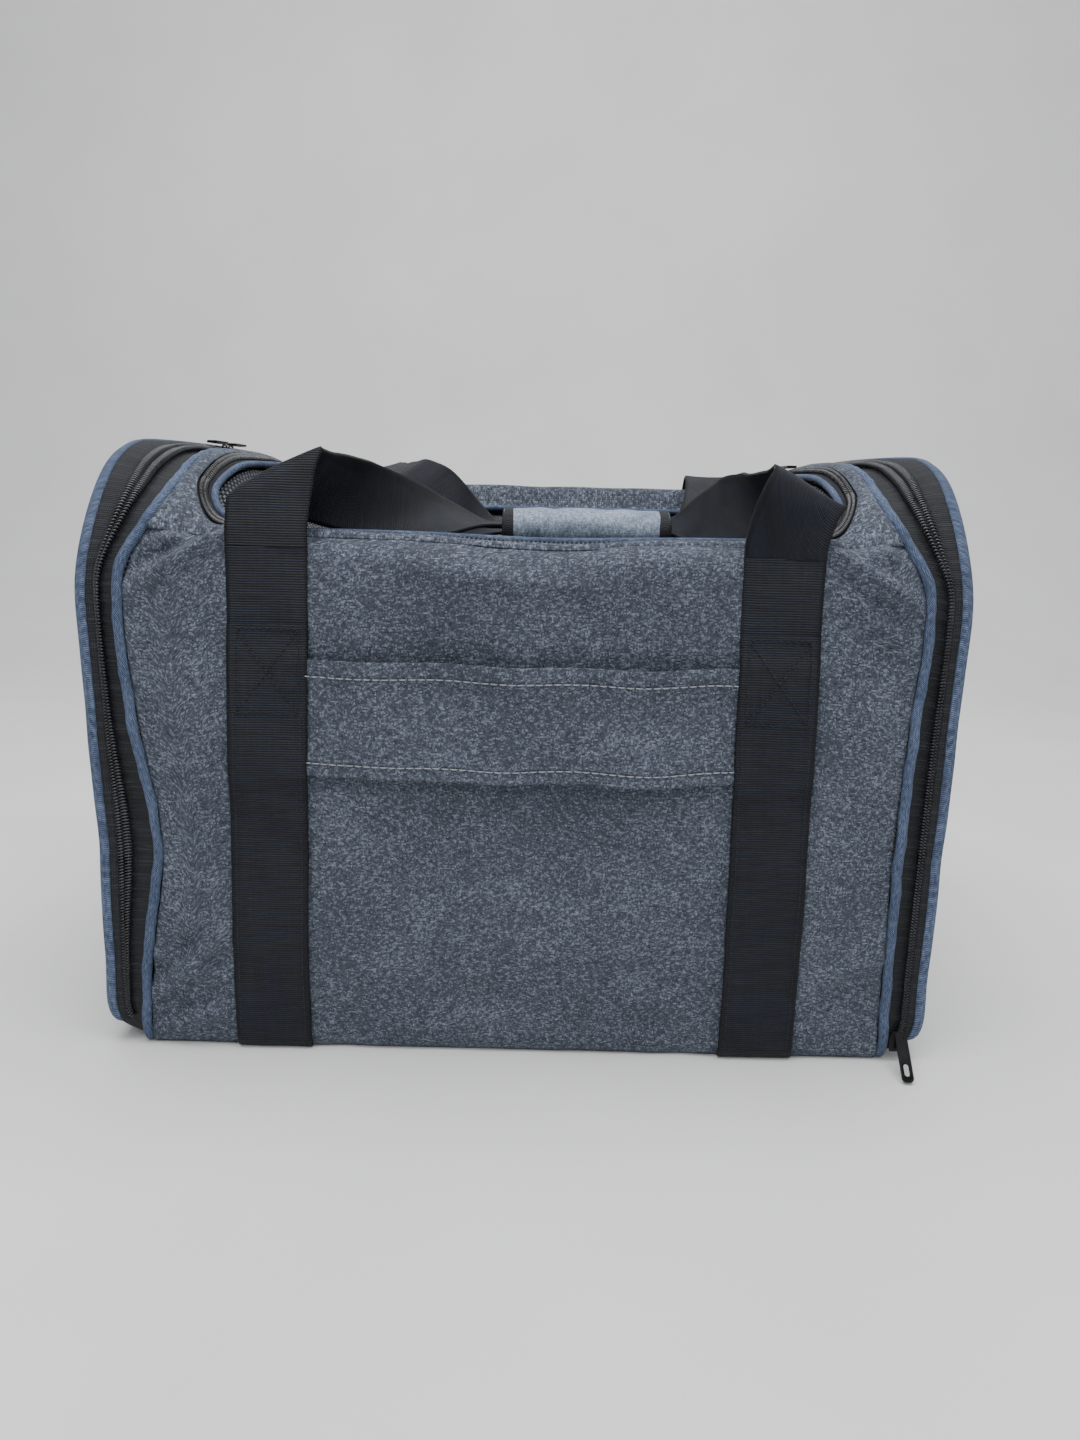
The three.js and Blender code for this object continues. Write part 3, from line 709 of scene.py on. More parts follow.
def tube_mesh(path, radius, sides=12, loop=False, hint=(0.0, 0.0, 1.0)):
    """Points, faces and UVs of a round cord along a path."""
    path = np.asarray(path, float)
    tangent, side, up = frames_along(path, loop, hint)
    angle = np.linspace(0, 2 * math.pi, sides, endpoint=False)
    radius = np.broadcast_to(radius, (len(path),))[:, None, None]
    ring = np.cos(angle)[None, :, None] * side[:, None] + np.sin(angle)[None, :, None] * up[:, None]
    points = path[:, None] + radius * ring
    count = len(path)
    index = np.arange(count * sides).reshape(count, sides)
    near = index if loop else index[:-1]
    far = np.roll(index, -1, axis=0) if loop else index[1:]
    faces = np.stack([near, np.roll(near, -1, 1), np.roll(far, -1, 1), far], -1).reshape(-1, 4)
    travelled = lengths(path, 0)
    uv = np.stack(np.broadcast_arrays(angle[None] * radius[:, :, 0], travelled[:, None]), -1)
    points, uv, faces = points.reshape(-1, 3), uv.reshape(-1, 2), faces.tolist()
    if not loop:
        tips = path[[0, -1]] + tangent[[0, -1]] * radius[[0, -1], 0] * [[-0.4], [0.4]]
        points = np.concatenate([points, tips])
        uv = np.concatenate([uv, [[0, 0], [0, travelled[-1]]]])
        first, last = index[0, ::-1].tolist(), index[-1].tolist()
        for end, tip in ((first, len(points) - 2), (last, len(points) - 1)):
            faces += [[end[i], end[(i + 1) % sides], tip] for i in range(sides)]
    return points, faces, uv


def merge_parts(parts):
    """Joins several (points, faces, uvs) into one."""
    points, uvs = (np.concatenate([part[k] for part in parts]) for k in (0, 2))
    faces, offset = [], 0
    for part in parts:
        faces += [[i + offset for i in face] for face in part[1]]
        offset += len(part[0])
    return points, faces, uvs


def make_mixed(name, parts, material, body, slot, replaced=()):
    """A piece from several closed parts."""
    return make_object(name, *merge_parts(parts), material, body, slot, replaced)


def cord(name, path, radius, material, body, slot, replaced=(), **options):
    """A piece made of one round cord."""
    tube = tube_mesh(path, radius, **options)
    return make_object(name, *tube, material, body, slot, replaced)


def stitches(path, length=0.0030, gap=0.0009, radius=0.00032, lift=None):
    """A row of short raised threads along a path."""
    travelled = lengths(path, 0)
    count = max(1, int(travelled[-1] // (length + gap)))
    thick = radius * np.array([0.45, 0.95, 1.0, 0.95, 0.45])
    parts = []
    for number in range(count):
        start = (number + 0.5) * travelled[-1] / count - length / 2
        at = start + np.linspace(0, length, 5)
        run = np.stack([np.interp(at, travelled, path[:, k]) for k in range(3)], -1)
        if lift is not None:
            run = run + np.outer(np.array([-0.6, 0.6, 1.0, 0.6, -0.6]) * radius, lift)
        parts.append(tube_mesh(run, thick, 5))
    return parts


# ---------------------------------------------------------------- camera, light and floor

def aim(location, pitch, roll, lens):
    """A camera that looks along +Y, pitched down and rolled, with angles in degrees."""
    data = bpy.data.cameras.new("camera")
    data.sensor_width = 36
    data.lens = lens
    data.clip_start = 0.01
    camera = bpy.data.objects.new("camera", data)
    camera.location = location
    turn = Euler((math.radians(90 - pitch), 0, 0)).to_matrix()
    roll_turn = Euler((0, 0, math.radians(roll))).to_matrix()
    camera.rotation_euler = (turn @ roll_turn).to_euler()
    bpy.context.scene.collection.objects.link(camera)
    bpy.context.scene.camera = camera


aim(location=(0.009, -0.607, 0.287), pitch=13.0, roll=1.4, lens=25.0)


def area_light(name, location, target, size, power):
    data = bpy.data.lights.new(name, "AREA")
    data.shape = "RECTANGLE"
    data.size, data.size_y = size
    data.energy = power
    light = bpy.data.objects.new(name, data)
    light.location = location
    light.rotation_euler = (Vector(target) - Vector(location)).to_track_quat("-Z", "Y").to_euler()
    bpy.context.scene.collection.objects.link(light)


def make_stage():
    """A pale floor that curves up into a plain backdrop."""
    half_width, front, rear, height, bend, steps = 3.0, -3.0, 1.4, 2.6, 0.5, 16
    g = Graph("pale_floor")
    cloud = object_noise(g, 6, 3.0)
    colour = g.ramp(cloud, (0.3, srgb(238, 238, 237)), (0.7, srgb(244, 244, 243)))
    material = g.finish(colour, roughness=0.7)
    profile = [(front, 0.0)]
    for step in range(steps + 1):
        angle = math.pi / 2 * step / steps
        profile.append((rear - bend + bend * math.sin(angle), bend - bend * math.cos(angle)))
    profile.append((rear, height))
    points = [(side * half_width, y, z) for y, z in profile for side in (-1, 1)]
    faces = [(2 * i, 2 * i + 1, 2 * i + 3, 2 * i + 2) for i in range(len(profile) - 1)]
    mesh = bpy.data.meshes.new("studio_floor")
    mesh.from_pydata(points, [], faces)
    mesh.polygons.foreach_set("use_smooth", [True] * len(mesh.polygons))
    mesh.materials.append(material)
    floor = bpy.data.objects.new("studio_floor", mesh)
    bpy.context.scene.collection.objects.link(floor)
    floor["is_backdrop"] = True


make_stage()
area_light("overhead", (0.0, -0.15, 1.7), (0, 0, 0.2), (1.7, 1.3), 34)
area_light("front_fill", (-0.25, -0.95, 1.05), (0, -0.1, 0.26), (1.1, 0.6), 5.0)
area_light("side_fill", (1.9, -0.4, 0.9), (0, 0, 0.15), (1.2, 1.2), 5)
world = bpy.data.worlds.new("studio")
world.use_nodes = True
sky = world.node_tree.nodes["Background"].inputs
sky["Color"].default_value = (0.75, 0.77, 0.8, 1)
sky["Strength"].default_value = 0.35
bpy.context.scene.world = world


# ---------------------------------------------------------------- body cloth

def make_wall(name, side):
    def surface(u, v):
        x = mix(-BODY_END, BODY_END, u)
        return wall_point(x, v * wall_length(x, side) + 0.0006, side)
    sheet(
        name, surface, 230, 150, CLOTH, HEATHER, "carrier", "heather_fabric",
        [name], flip=side > 0,
    )


def front_sag(x, y):
    """The front edge of the top hangs a little at its middle."""
    return front_hang(x) * (1 - smooth(-0.125, -0.10, y))


def rim_place(inset, share):
    """A place round the opening. Its rear edge lies in front of the rear wall's lip."""
    x, y = rim_point(inset, share)
    return x, y - 0.0065 * smooth(0.098, 0.1185, y) * (1 - arch_share(x))


def make_top_surround():
    reach_x, reach_y = BODY_END + 0.0004, SEAM_Y + 0.0012

    def surface(u, v):
        x0, y0 = rim_place(0.0, u)
        x1 = np.clip(x0 * 1.15, -reach_x, reach_x)
        y1 = np.clip(y0 * 1.15, -reach_y, reach_y)
        x, y = mix(x0, x1, v), mix(y0, y1, v)
        puff = 0.0009 * np.sin(math.pi * np.clip(v, 0, 1)) * (1 + 0.6 * waves(x, y, 0.05, 21))
        z = top_height(x, y) + puff - 0.0010 * smooth(0.8, 1.0, v)
        return settle(np.stack([x, y, z - front_sag(x, y)], -1))
    sheet(
        "top_surround_cloth", surface, 448, 14, CLOTH, HEATHER, "carrier", "heather_fabric",
        ["top_surround"], loop=True, flip=True, uv_of=planar(0, 1),
    )


def make_base():
    low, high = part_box("base_panel")

    def surface(u, v):
        x, y = mix(low.x, high.x, u), mix(high.y, low.y, v)
        edge = np.minimum(high.x - np.abs(x), high.y - np.abs(y))
        round_off = 0.0012 * np.clip(1 - edge / 0.004, 0, 1) ** 2
        quilt = 0.0004 * (1 - hump(x, 0.0, 0.004)) * smooth(0, 0.02, edge)
        return np.stack([x, y, 0.0006 - quilt + round_off], -1)
    sheet(
        "base_cloth", surface, 120, 90, 0.0017, HEATHER, "carrier", "heather_fabric",
        ["base_panel"],
    )


make_wall("front_panel", -1)
make_wall("rear_panel", 1)
make_top_surround()
make_base()
HOOP_INSET = 0.0090
for node in ("left_frame_hoop", "right_frame_hoop"):
    low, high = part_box(node)
    hoop = arch_point(np.linspace(0.02, 0.98, 300), (low.x + high.x) / 2, HOOP_INSET)
    cord(f"{node}_wire", hoop, (high.x - low.x) / 2, STEEL, "carrier", "hoop_wire", [node])
board_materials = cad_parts["base_board"].data.materials
board_materials.clear()
board_materials.append(BOARD)


# ---------------------------------------------------------------- ends

COIL_WIRE = 0.00045
COIL_SHIFT = 0.00135
COIL_FOOT = 0.0135


def tape_band(name, side, profile, body, replaced, foot=0.0):
    """Zipper tape round an end's arch. Its section is profile(v) -> (x, inset)."""
    def surface(u, v):
        x, inset = profile(v)
        return arch_point(u, side * x, inset, foot)
    sheet(
        name, surface, 330, 10, TAPE_THICKNESS, TAPE, body, "zip_tape", [replaced], flip=side < 0,
    )


def coil_row(name, path, body, replaced=(), turns=500):
    """One side of a coil zipper: a wire wound along path(share, x_shift, inset_shift)."""
    steps = 7
    share = np.linspace(0.002, 0.998, turns * steps + 1)
    turn = 2 * math.pi * np.arange(turns * steps + 1) / steps
    points = path(share, np.cos(turn), np.sin(turn))
    cord(name, points, COIL_WIRE, COIL, body, "zip_coil", replaced, sides=4)


def make_end(name, side):
    """An end's piping, zip, door and foot."""
    door = f"{name}_door"
    foot = DOOR_BOX[0].z
    door_x = DOOR_BOX[0].x

    share = np.linspace(0, 1, 420)
    soft = 0.0004 * np.sin(share * 160) * np.sin(share * 37)
    path = arch_point(share, side * (PIPING_X + soft), 0.0002, 0.0026)
    thick = 0.00255 + 0.00012 * np.sin(share * 400)
    cord(
        f"{name}_piping_cord", path, thick, DENIM, "carrier", "denim_trim", [f"{name}_piping"],
        sides=14,
    )

    def body_tape(v):
        x = mix(PIPING_X + 0.0012, COIL_X - 0.0006, v)
        return x, 0.0020 + 0.0022 * smooth(0.0, 0.9, v)

    def door_tape(v):
        x = mix(COIL_X + 0.0006, door_x + 0.0004, v)
        return x, mix(0.0042, 0.0012, v ** 0.8) - 0.0008 * np.sin(v * math.pi)

    def winding(shift, start):
        def path(t, c, s):
            x = COIL_X + shift + 0.0014 * c
            return arch_point(t, side * x, 0.0009 - 0.0010 * s, start)
        return path

    for part, body, profile, tape_foot, sewn_x, sewn_inset, sewn_foot in (
        ("body", "carrier", body_tape, 0.0, PIPING_X + 0.0042, 0.0024, 0.002),
        ("door", door, door_tape, foot, door_x - 0.0022, 0.0015, foot),
    ):
        part_name = f"{name}_{part}"
        tape_band(f"{part_name}_tape", side, profile, body, f"{part_name}_zip_tape", tape_foot)
        seam = arch_point(np.linspace(0.02, 0.98, 500), side * sewn_x, sewn_inset, sewn_foot)
        make_mixed(f"{part_name}_tape_stitching", stitches(seam), BLACK_THREAD, body, "zip_tape")
    for part, body, coil_path in (
        ("body", "carrier", winding(-COIL_SHIFT, COIL_FOOT)),
        ("door", door, winding(COIL_SHIFT, foot)),
    ):
        coil_row(f"{name}_{part}_coil", coil_path, body, [f"{name}_{part}_zip_coil"])

    make_door(name, side, door, foot)
    make_sill(name, side)


def door_ring(u, inset, foot):
    """A closed line round a door at a distance in from its edge, as Y and Z."""
    arch_part = 0.80
    arch = arch_point(np.clip(u / arch_part, 0, 1), 0.0, inset, foot)
    half = HALF_DEPTH - inset
    bottom = np.clip((u - arch_part) / (1 - arch_part), 0, 1)
    y = np.where(u <= arch_part, arch[..., 1], mix(half, -half, bottom))
    z = np.where(u <= arch_part, arch[..., 2], foot)
    return y, z


def place_on_door(side, x, y, z):
    x, y, z = np.broadcast_arrays(x, y, z)
    return settle(np.stack([side * x, y, z], -1))


DOOR_BORDER = 0.0440
WINDOW_MIDDLE = 0.160


def make_door(name, side, door, foot):
    """An end door: a stiff border, the mesh window in it and the binding between them."""
    border = DOOR_BORDER
    face = DOOR_BOX[1].x

    def board(u, v):
        inset = mix(0.0016, border + 0.0025, v) - 0.0011 * np.sin(math.pi * np.clip(v / 0.12, 0, 1))
        x = mix(DOOR_BOX[0].x, face, np.sin(math.pi / 2 * np.clip(v / 0.07, 0, 1)))
        y, z = door_ring(u, inset, foot + inset - 0.0016)
        puff = 0.0007 * np.sin(math.pi * np.clip(v, 0, 1)) + 0.00035 * waves(y, z, 0.045, 5)
        return place_on_door(side, x + puff - 0.0006, y, z)
    sheet(
        f"{name}_door_cloth", board, 420, 36, 0.0022, DENIM, door, "denim_trim",
        [f"{name}_door_border"], loop=True, flip=side < 0, uv_of=planar(1, 2),
    )

    def binding(u, v):
        around = math.pi * v
        inset = border + 0.0020 - 0.0055 * np.cos(around)
        y, z = door_ring(u, inset, foot + inset)
        return place_on_door(side, face + 0.0012 + 0.0010 * np.sin(around), y, z)
    sheet(
        f"{name}_window_binding", binding, 420, 10, 0.0010, TAPE, door, "zip_tape",
        loop=True, flip=side < 0,
    )
    for number, inset in enumerate((border - 0.0018, border + 0.0060)):
        y, z = door_ring(np.linspace(0.002, 0.998, 700), inset, foot + inset)
        line = place_on_door(side, face + 0.0022, y, z)
        stitching = f"{name}_window_stitching_{number}"
        make_mixed(stitching, stitches(line), BLACK_THREAD, door, "zip_tape")

    def window(u, v):
        y, z = door_ring(u, border - 0.004, foot + border - 0.004)
        y = y * mix(1, 0.002, v)
        z = WINDOW_MIDDLE + (z - WINDOW_MIDDLE) * mix(1, 0.002, v)
        give = 0.0022 * np.sin(math.pi / 2 * v) + 0.0005 * waves(y, z, 0.06, 8)
        return place_on_door(side, face - 0.0040 + give, y, z)
    sheet(
        f"{name}_window_mesh", window, 200, 40, MESH_THICKNESS, MESH, door, "mesh",
        [f"{name}_door_mesh"], loop=True, flip=side < 0, uv_of=planar(1, 2),
    )


def make_sill(name, side):
    """The foot of an end: the sill, the tape rolled under the door and the strip it bends on."""
    low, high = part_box(f"{name}_sill")
    half = high.y - 0.0008
    outer = max(abs(low.x), abs(high.x))
    top = high.z

    def foot_cloth(u, v):
        angle = math.pi / 2 * v
        x = BODY_END - 0.004 + (outer - BODY_END + 0.003) * np.sin(angle) ** 0.7
        z = 0.0006 + (top - 0.0014) * (1 - np.cos(angle)) ** 0.9
        y = mix(-half, half, u)
        return place_on_door(side, x, y * (1 - 0.012 * (1 - v)), z + 0.0002 * waves(y, x, 0.04, 4))
    sheet(
        f"{name}_sill_cloth", foot_cloth, 160, 18, 0.0013, TAPE, "carrier", "zip_tape",
        [f"{name}_sill"], flip=side < 0,
    )
    cheek = 0.06

    def roll(u, v):
        angle = math.pi / 2 * v
        near_end = np.clip(np.minimum(u, 1 - u) / cheek, 0, 1)
        x = mix(BODY_END - 0.003, DOOR_BOX[1].x - 0.0012, np.sin(angle))
        z = 0.0009 + (top + 0.0030) * (1 - np.cos(angle))
        x, z = mix(BODY_END + 0.002, x, near_end), mix(top + 0.003, z, near_end)
        reach = HALF_DEPTH - 0.0018 - foot_round(z)
        across = np.clip((u - cheek) / (1 - 2 * cheek), 0, 1)
        return place_on_door(side, x, mix(-reach, reach, across), z)
    piece = sheet(
        f"{name}_foot_roll", roll, 200, 18, TAPE_THICKNESS, TAPE, None, "zip_tape", flip=side < 0,
    )
    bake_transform(piece)
    start, end = outer - 0.0040, DOOR_BOX[0].x + 0.0030

    def strip(u, v):
        y = mix(-half + 0.002, half - 0.002, u)
        x = mix(start, end, v)
        z = top + 0.0006 + 0.0022 * v - 0.0008 * np.sin(math.pi * v)
        return place_on_door(side, x, y, z)
    piece = sheet(
        f"{name}_door_hinge_strip", strip, 120, 16, 0.0007, TAPE, None, "zip_tape", flip=side > 0,
    )
    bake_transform(piece)


make_end("left", -1)
make_end("right", 1)


# ---------------------------------------------------------------- lid

def rim_surface(inset, share, lift):
    """A place on the top cloth round the lid's opening."""
    x, y = rim_place(inset, share)
    return settle(np.stack([x, y, top_height(x, y) + lift - front_sag(x, y)], -1))


def make_lid():
    """The lid and its zip, whose two coils lie side by side."""
    for name, low, high, body, replaced in (
        ("opening_tape", 0.0000, 0.0035, "carrier", "opening_zip_tape"),
        ("lid_tape", 0.0037, 0.0080, "lid", "lid_zip_tape"),
    ):
        sheet(
            name, lambda u, v, a=low, b=high: rim_surface(mix(a, b, v), u, -0.0010),
            520, 4, TAPE_THICKNESS, TAPE, body, "zip_tape", [replaced], loop=True,
        )
    for name, shift, body in (("opening_coil", -0.00105, "carrier"), ("lid_coil", 0.00105, "lid")):
        def winding(t, c, s, shift=shift):
            return rim_surface(0.0036 + shift + 0.0011 * c, t, 0.0010 + 0.0008 * s)
        coil_row(name, winding, body, turns=640)

    share = np.linspace(0, 1, 700, endpoint=False)
    path = rim_surface(0.0096, share, 0.0007)
    cord("lid_piping_cord", path, 0.00185, DENIM, "lid", "denim_trim", ["lid_piping"], loop=True)

    def mesh(u, v):
        rim_x, rim_y = rim_place(0.0100, u)
        scale = mix(1, 0.02, v)
        x, y = rim_x * scale, rim_y * scale
        press = 0.0012 * waves(x, y, 0.09, 31) * smooth(0, 0.3, v)
        return settle(np.stack([x, y, lid_height(x, y) - 0.0012 + press], -1))
    sheet(
        "lid_mesh_cloth", mesh, 300, 80, MESH_THICKNESS, MESH, "lid", "mesh",
        ["lid_mesh"], loop=True, uv_of=planar(0, 1),
    )


make_lid()


# ---------------------------------------------------------------- straps, sleeve and handles

SLEEVE_HALF = 0.1052
STRAP_TOP = {-1: 0.258, 1: 0.268}
STRAP_LEAN = {"front_left": 0.0045, "front_right": -0.0035, "rear_left": 0.003, "rear_right": 0.001}
LAP_LOW, LAP_HIGH = 0.180, 0.222


def strap_point(corner, across, s):
    """A place on a strap's outer face: across from its middle, and a distance up the wall."""
    side = -1 if corner.startswith("front") else 1
    middle = -STRAP_X if corner.endswith("left") else STRAP_X
    across, s = np.broadcast_arrays(across, s)
    x = middle + across + STRAP_LEAN[corner] * smooth(0.0, 0.27, s)
    over_sleeve = smooth(0.138, 0.150, s) * (1 - smooth(0.206, 0.218, s)) if side < 0 else 0
    lap = 1 - smooth(LAP_HIGH, LAP_HIGH + 0.0008, s)
    bed = wall_bulge(x, s, side) * (1 - smooth(0.20, 0.255, s)) - wall_tuck(s)
    ripple = 0.0003 * waves(s, across, 0.05, 81 + side)
    stand = 0.0016 + 0.0010 * lap + 0.0012 * over_sleeve + bed + ripple
    return np.stack([x, side * (HALF_DEPTH + stand), s + 0 * x], -1)


def make_strap(corner):
    """A strap sewn up a wall, with a stitched box and cross where its end laps over it."""
    side = -1 if corner.startswith("front") else 1
    top = STRAP_TOP[side]

    def surface(u, v):
        return strap_point(corner, mix(-WEBBING / 2, WEBBING / 2, u), mix(0.0010, top, v))
    sheet(
        f"{corner}_webbing", surface, 20, 330, WEBBING_THICKNESS, WEB, "carrier", "webbing",
        [f"{corner}_strap"], flip=side > 0,
    )
    parts = []
    normal = np.array([0, side, 0], float)
    run = np.linspace(0.008, LAP_LOW, 220)
    for edge in (0.0028 - WEBBING / 2, WEBBING / 2 - 0.0028):
        parts += stitches(strap_point(corner, edge, run), lift=normal, radius=0.00026)
    half, box_top = WEBBING / 2 - 0.0042, LAP_HIGH - 0.002
    corners = [(-half, LAP_LOW), (half, LAP_LOW), (half, box_top), (-half, box_top)]
    box = [(corners[i], corners[(i + 1) % 4]) for i in range(4)]
    box += [(corners[0], corners[2]), (corners[1], corners[3])]
    for (a0, s0), (a1, s1) in box:
        t = np.linspace(0, 1, 40)
        line = strap_point(corner, mix(a0, a1, t), mix(s0, s1, t))
        parts += stitches(line, lift=normal, length=0.0026, gap=0.0006, radius=0.00030)
    make_mixed(f"{corner}_stitching", parts, BLACK_THREAD, "carrier", "webbing")


def sleeve_point(x, z):
    """A place on the sleeve, which stands off the front wall between its two sewn ends."""
    end = np.clip(np.abs(x) / SLEEVE_HALF, 0, 1)
    bow = 0.0062 * (1 - end ** 5)
    ripple = 0.0008 * waves(x, z, 0.07, 41) * (1 - end ** 8)
    mouth = 0.0012 * (hump(z, SLEEVE_HIGH.z, 0.010) + hump(z, SLEEVE_LOW.z, 0.010)) * (1 - end ** 4)
    sag = 0.0016 * waves(x, 0 * z, 0.10, 44) * (1 - end ** 4)
    return wall_point(x, z + sag, -1, 0.0016 + bow + ripple + mouth)


def make_sleeve():
    """The trolley sleeve, with a sewn hem along its lower and its upper edge."""
    reach = SLEEVE_HALF + 0.010
    height = SLEEVE_HIGH.z - SLEEVE_LOW.z
    hems = ((0.0, 0.0085), (height, 0.0105))

    def surface(u, v):
        points = sleeve_point(mix(-reach, reach, u), mix(SLEEVE_LOW.z, SLEEVE_HIGH.z, v))
        proud = 0
        for place, wide in hems:
            away = np.abs(v * height - place)
            proud = proud + 0.0009 * (1 - smooth(wide - 0.0012, wide, away))
            proud = proud - 0.0006 * hump(away, wide - 0.0026, 0.0009)
        points[..., 1] -= proud
        return points
    sheet(
        "trolley_sleeve_cloth", surface, 220, 84, 0.0016, HEATHER, "carrier", "heather_fabric",
        ["trolley_sleeve"],
    )
    lines = []
    x = np.linspace(-SLEEVE_HALF + 0.001, SLEEVE_HALF - 0.001, 240)
    normal = np.array([0, -1.0, 0])
    for height_up in (SLEEVE_LOW.z + 0.0060, SLEEVE_HIGH.z - 0.0080):
        line = sleeve_point(x, np.full_like(x, height_up)) + normal * 0.0008
        lines += stitches(line, length=0.0036, gap=0.0006, radius=0.00036, lift=normal)
    make_mixed("trolley_sleeve_stitching", lines, PALE_THREAD, "carrier", "heather_fabric")


def curve_through(rows, count):
    """A smooth curve through given rows, evenly stepped. The first three columns are the place."""
    rows = np.array(rows, float)
    gaps = np.linalg.norm(np.diff(rows[:, :3], axis=0), axis=1) ** 0.5
    knots = np.concatenate([[0], np.cumsum(gaps)])
    slopes = np.diff(rows, axis=0) / gaps[:, None]
    before, after = gaps[:-1, None], gaps[1:, None]
    middle = (slopes[:-1] * after + slopes[1:] * before) / (before + after)
    tangents = np.vstack([slopes[:1], middle, slopes[-1:]])
    time = np.linspace(0, knots[-1], 40 * len(rows))
    i = np.clip(np.searchsorted(knots, time, side="right") - 1, 0, len(gaps) - 1)
    span = gaps[i, None]
    t = (time - knots[i])[:, None] / span
    dense = (
        (2 * t ** 3 - 3 * t ** 2 + 1) * rows[i] + (t ** 3 - 2 * t ** 2 + t) * span * tangents[i]
        + (3 * t ** 2 - 2 * t ** 3) * rows[i + 1] + (t ** 3 - t ** 2) * span * tangents[i + 1]
    )
    travelled = lengths(dense[:, :3], 0)
    at = np.linspace(0, travelled[-1], count)
    return np.stack([np.interp(at, travelled, dense[:, k]) for k in range(rows.shape[1])], -1)


GRIP_LOW, GRIP_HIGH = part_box("grip_wrap")
GRIP_CENTRE = (GRIP_LOW + GRIP_HIGH) / 2

# Stations of each handle in millimetres: the webbing's middle, then the way to its right-hand edge.
# Both go from the left riser, over the lid, through or behind the grip, to the right riser.
FRONT_STATIONS = [
    (-119.6, -138.0, 270, 19, 0, 2), (-118.5, -136, 280, 18.5, 1, 6),
    (-117, -134, 289, 18, 1, 9), (-115.5, -131, 293.5, 19, 1, 10), (-114, -126, 294, 19, 2, 10),
    (-108, -117, 290, 16, 3, 11), (-99, -106, 286, 13, 6, 12), (-86, -89, 281, 8, 10, 14),
    (-70, -65, 275, 3, 12, 14), (-50, -42, 270, 0, 17, 9), (-26, -26, 266, 0, 19, 1),
    (0, -25, 266, 0, 19, 0), (64, -25, 266, 0, 19, 0), (86, -28, 267, 1, 17, 6),
    (96, -44, 272, 3, 11, 15), (103, -62, 277, 1, 8, 16), (112, -82, 279, -2, 8, 16),
    (121, -102, 281, -9, 8, 14), (129, -116, 286, -13, 6, 11), (132, -127, 291, -16, 3, 10),
    (131.5, -131.5, 290.5, -17, 1, 8), (128, -135, 285, -18, 0, 4), (124.5, -136.8, 277, -19, 0, 1),
]
REAR_STATIONS = [
    (-119, 138.5, 278, 19, 0, 1), (-116, 137.4, 288, 19, 0, 2),
    (-115, 134, 296, 18.5, 0, 3), (-114, 129, 299, 18.5, 0, 4), (-112, 121, 299, 18.5, 0, 4),
    (-104, 90, 297, 18, 2, 5), (-91, 52, 295, 17, 3, 8), (-73, 24, 290, 13, 6, 12),
    (-60, 12, 284, 10, 8, 14), (-48, 9, 276, 7, 11, 14), (-36, 13, 269, 3, 16, 10),
    (-18, 20, 264, 0, 19, 2), (32, 22, 263, 0, 19, 0), (84, 22, 264, 0, 19, 0),
    (103, 29, 269, -8, 16, 3), (115, 50, 278, -16, 9, 2), (121, 78, 286, -18, 3, 1),
    (125, 104, 293, -19, 0, 1), (127, 122, 298, -19, 0, 0), (127.4, 129, 299, -19, 0, 0),
    (127.2, 134, 296, -19, 0, 0), (126.6, 137.4, 288, -19, 0, 0), (126, 138.5, 278, -19, 0, 0),
]


def make_handle(name, side, stations):
    """Webbing from one riser to the other, over its fold at each end."""
    count = 420
    corners = ("front_left", "front_right") if side < 0 else ("rear_left", "rear_right")
    ends = []
    for corner, way in zip(corners, (1, -1)):
        top = STRAP_TOP[side] - 0.0005
        ends.append([
            (*strap_point(corner, 0.0, at), way * WEBBING / 2, 0, 0) for at in (top, top + 0.005)
        ])
    rows = curve_through(np.vstack([ends[0], np.array(stations) / 1000, ends[1][::-1]]), count)
    path, edge = rows[:, :3], rows[:, 3:]
    tangent = np.gradient(path, axis=0)
    tangent /= np.linalg.norm(tangent, axis=1, keepdims=True)
    square = edge - tangent * np.sum(edge * tangent, axis=1, keepdims=True)
    edge = edge * (WEBBING / 2) / np.linalg.norm(square, axis=1, keepdims=True)
    normal = np.cross(edge, tangent)
    normal /= np.linalg.norm(normal, axis=1, keepdims=True)

    def surface(u, v):
        index = np.rint(v * (count - 1)).astype(int)
        a = 2 * u - 1
        end = smooth(0.0, 0.08, v) * smooth(0.0, 0.08, 1 - v)
        cup = (0.0010 * (1 - a ** 2) + 0.0006 * waves(a * 0.019, v * 0.5, 0.05, 52 + side)) * end
        return path[index] + edge[index] * a[..., None] + normal[index] * cup[..., None]
    handle = f"{name}_handle"
    piece = sheet(
        f"{handle}_strap", surface, 20, count - 1, WEBBING_THICKNESS, WEB, None, "webbing",
        [f"{handle}_webbing"], flip=side > 0,
    )
    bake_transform(piece)


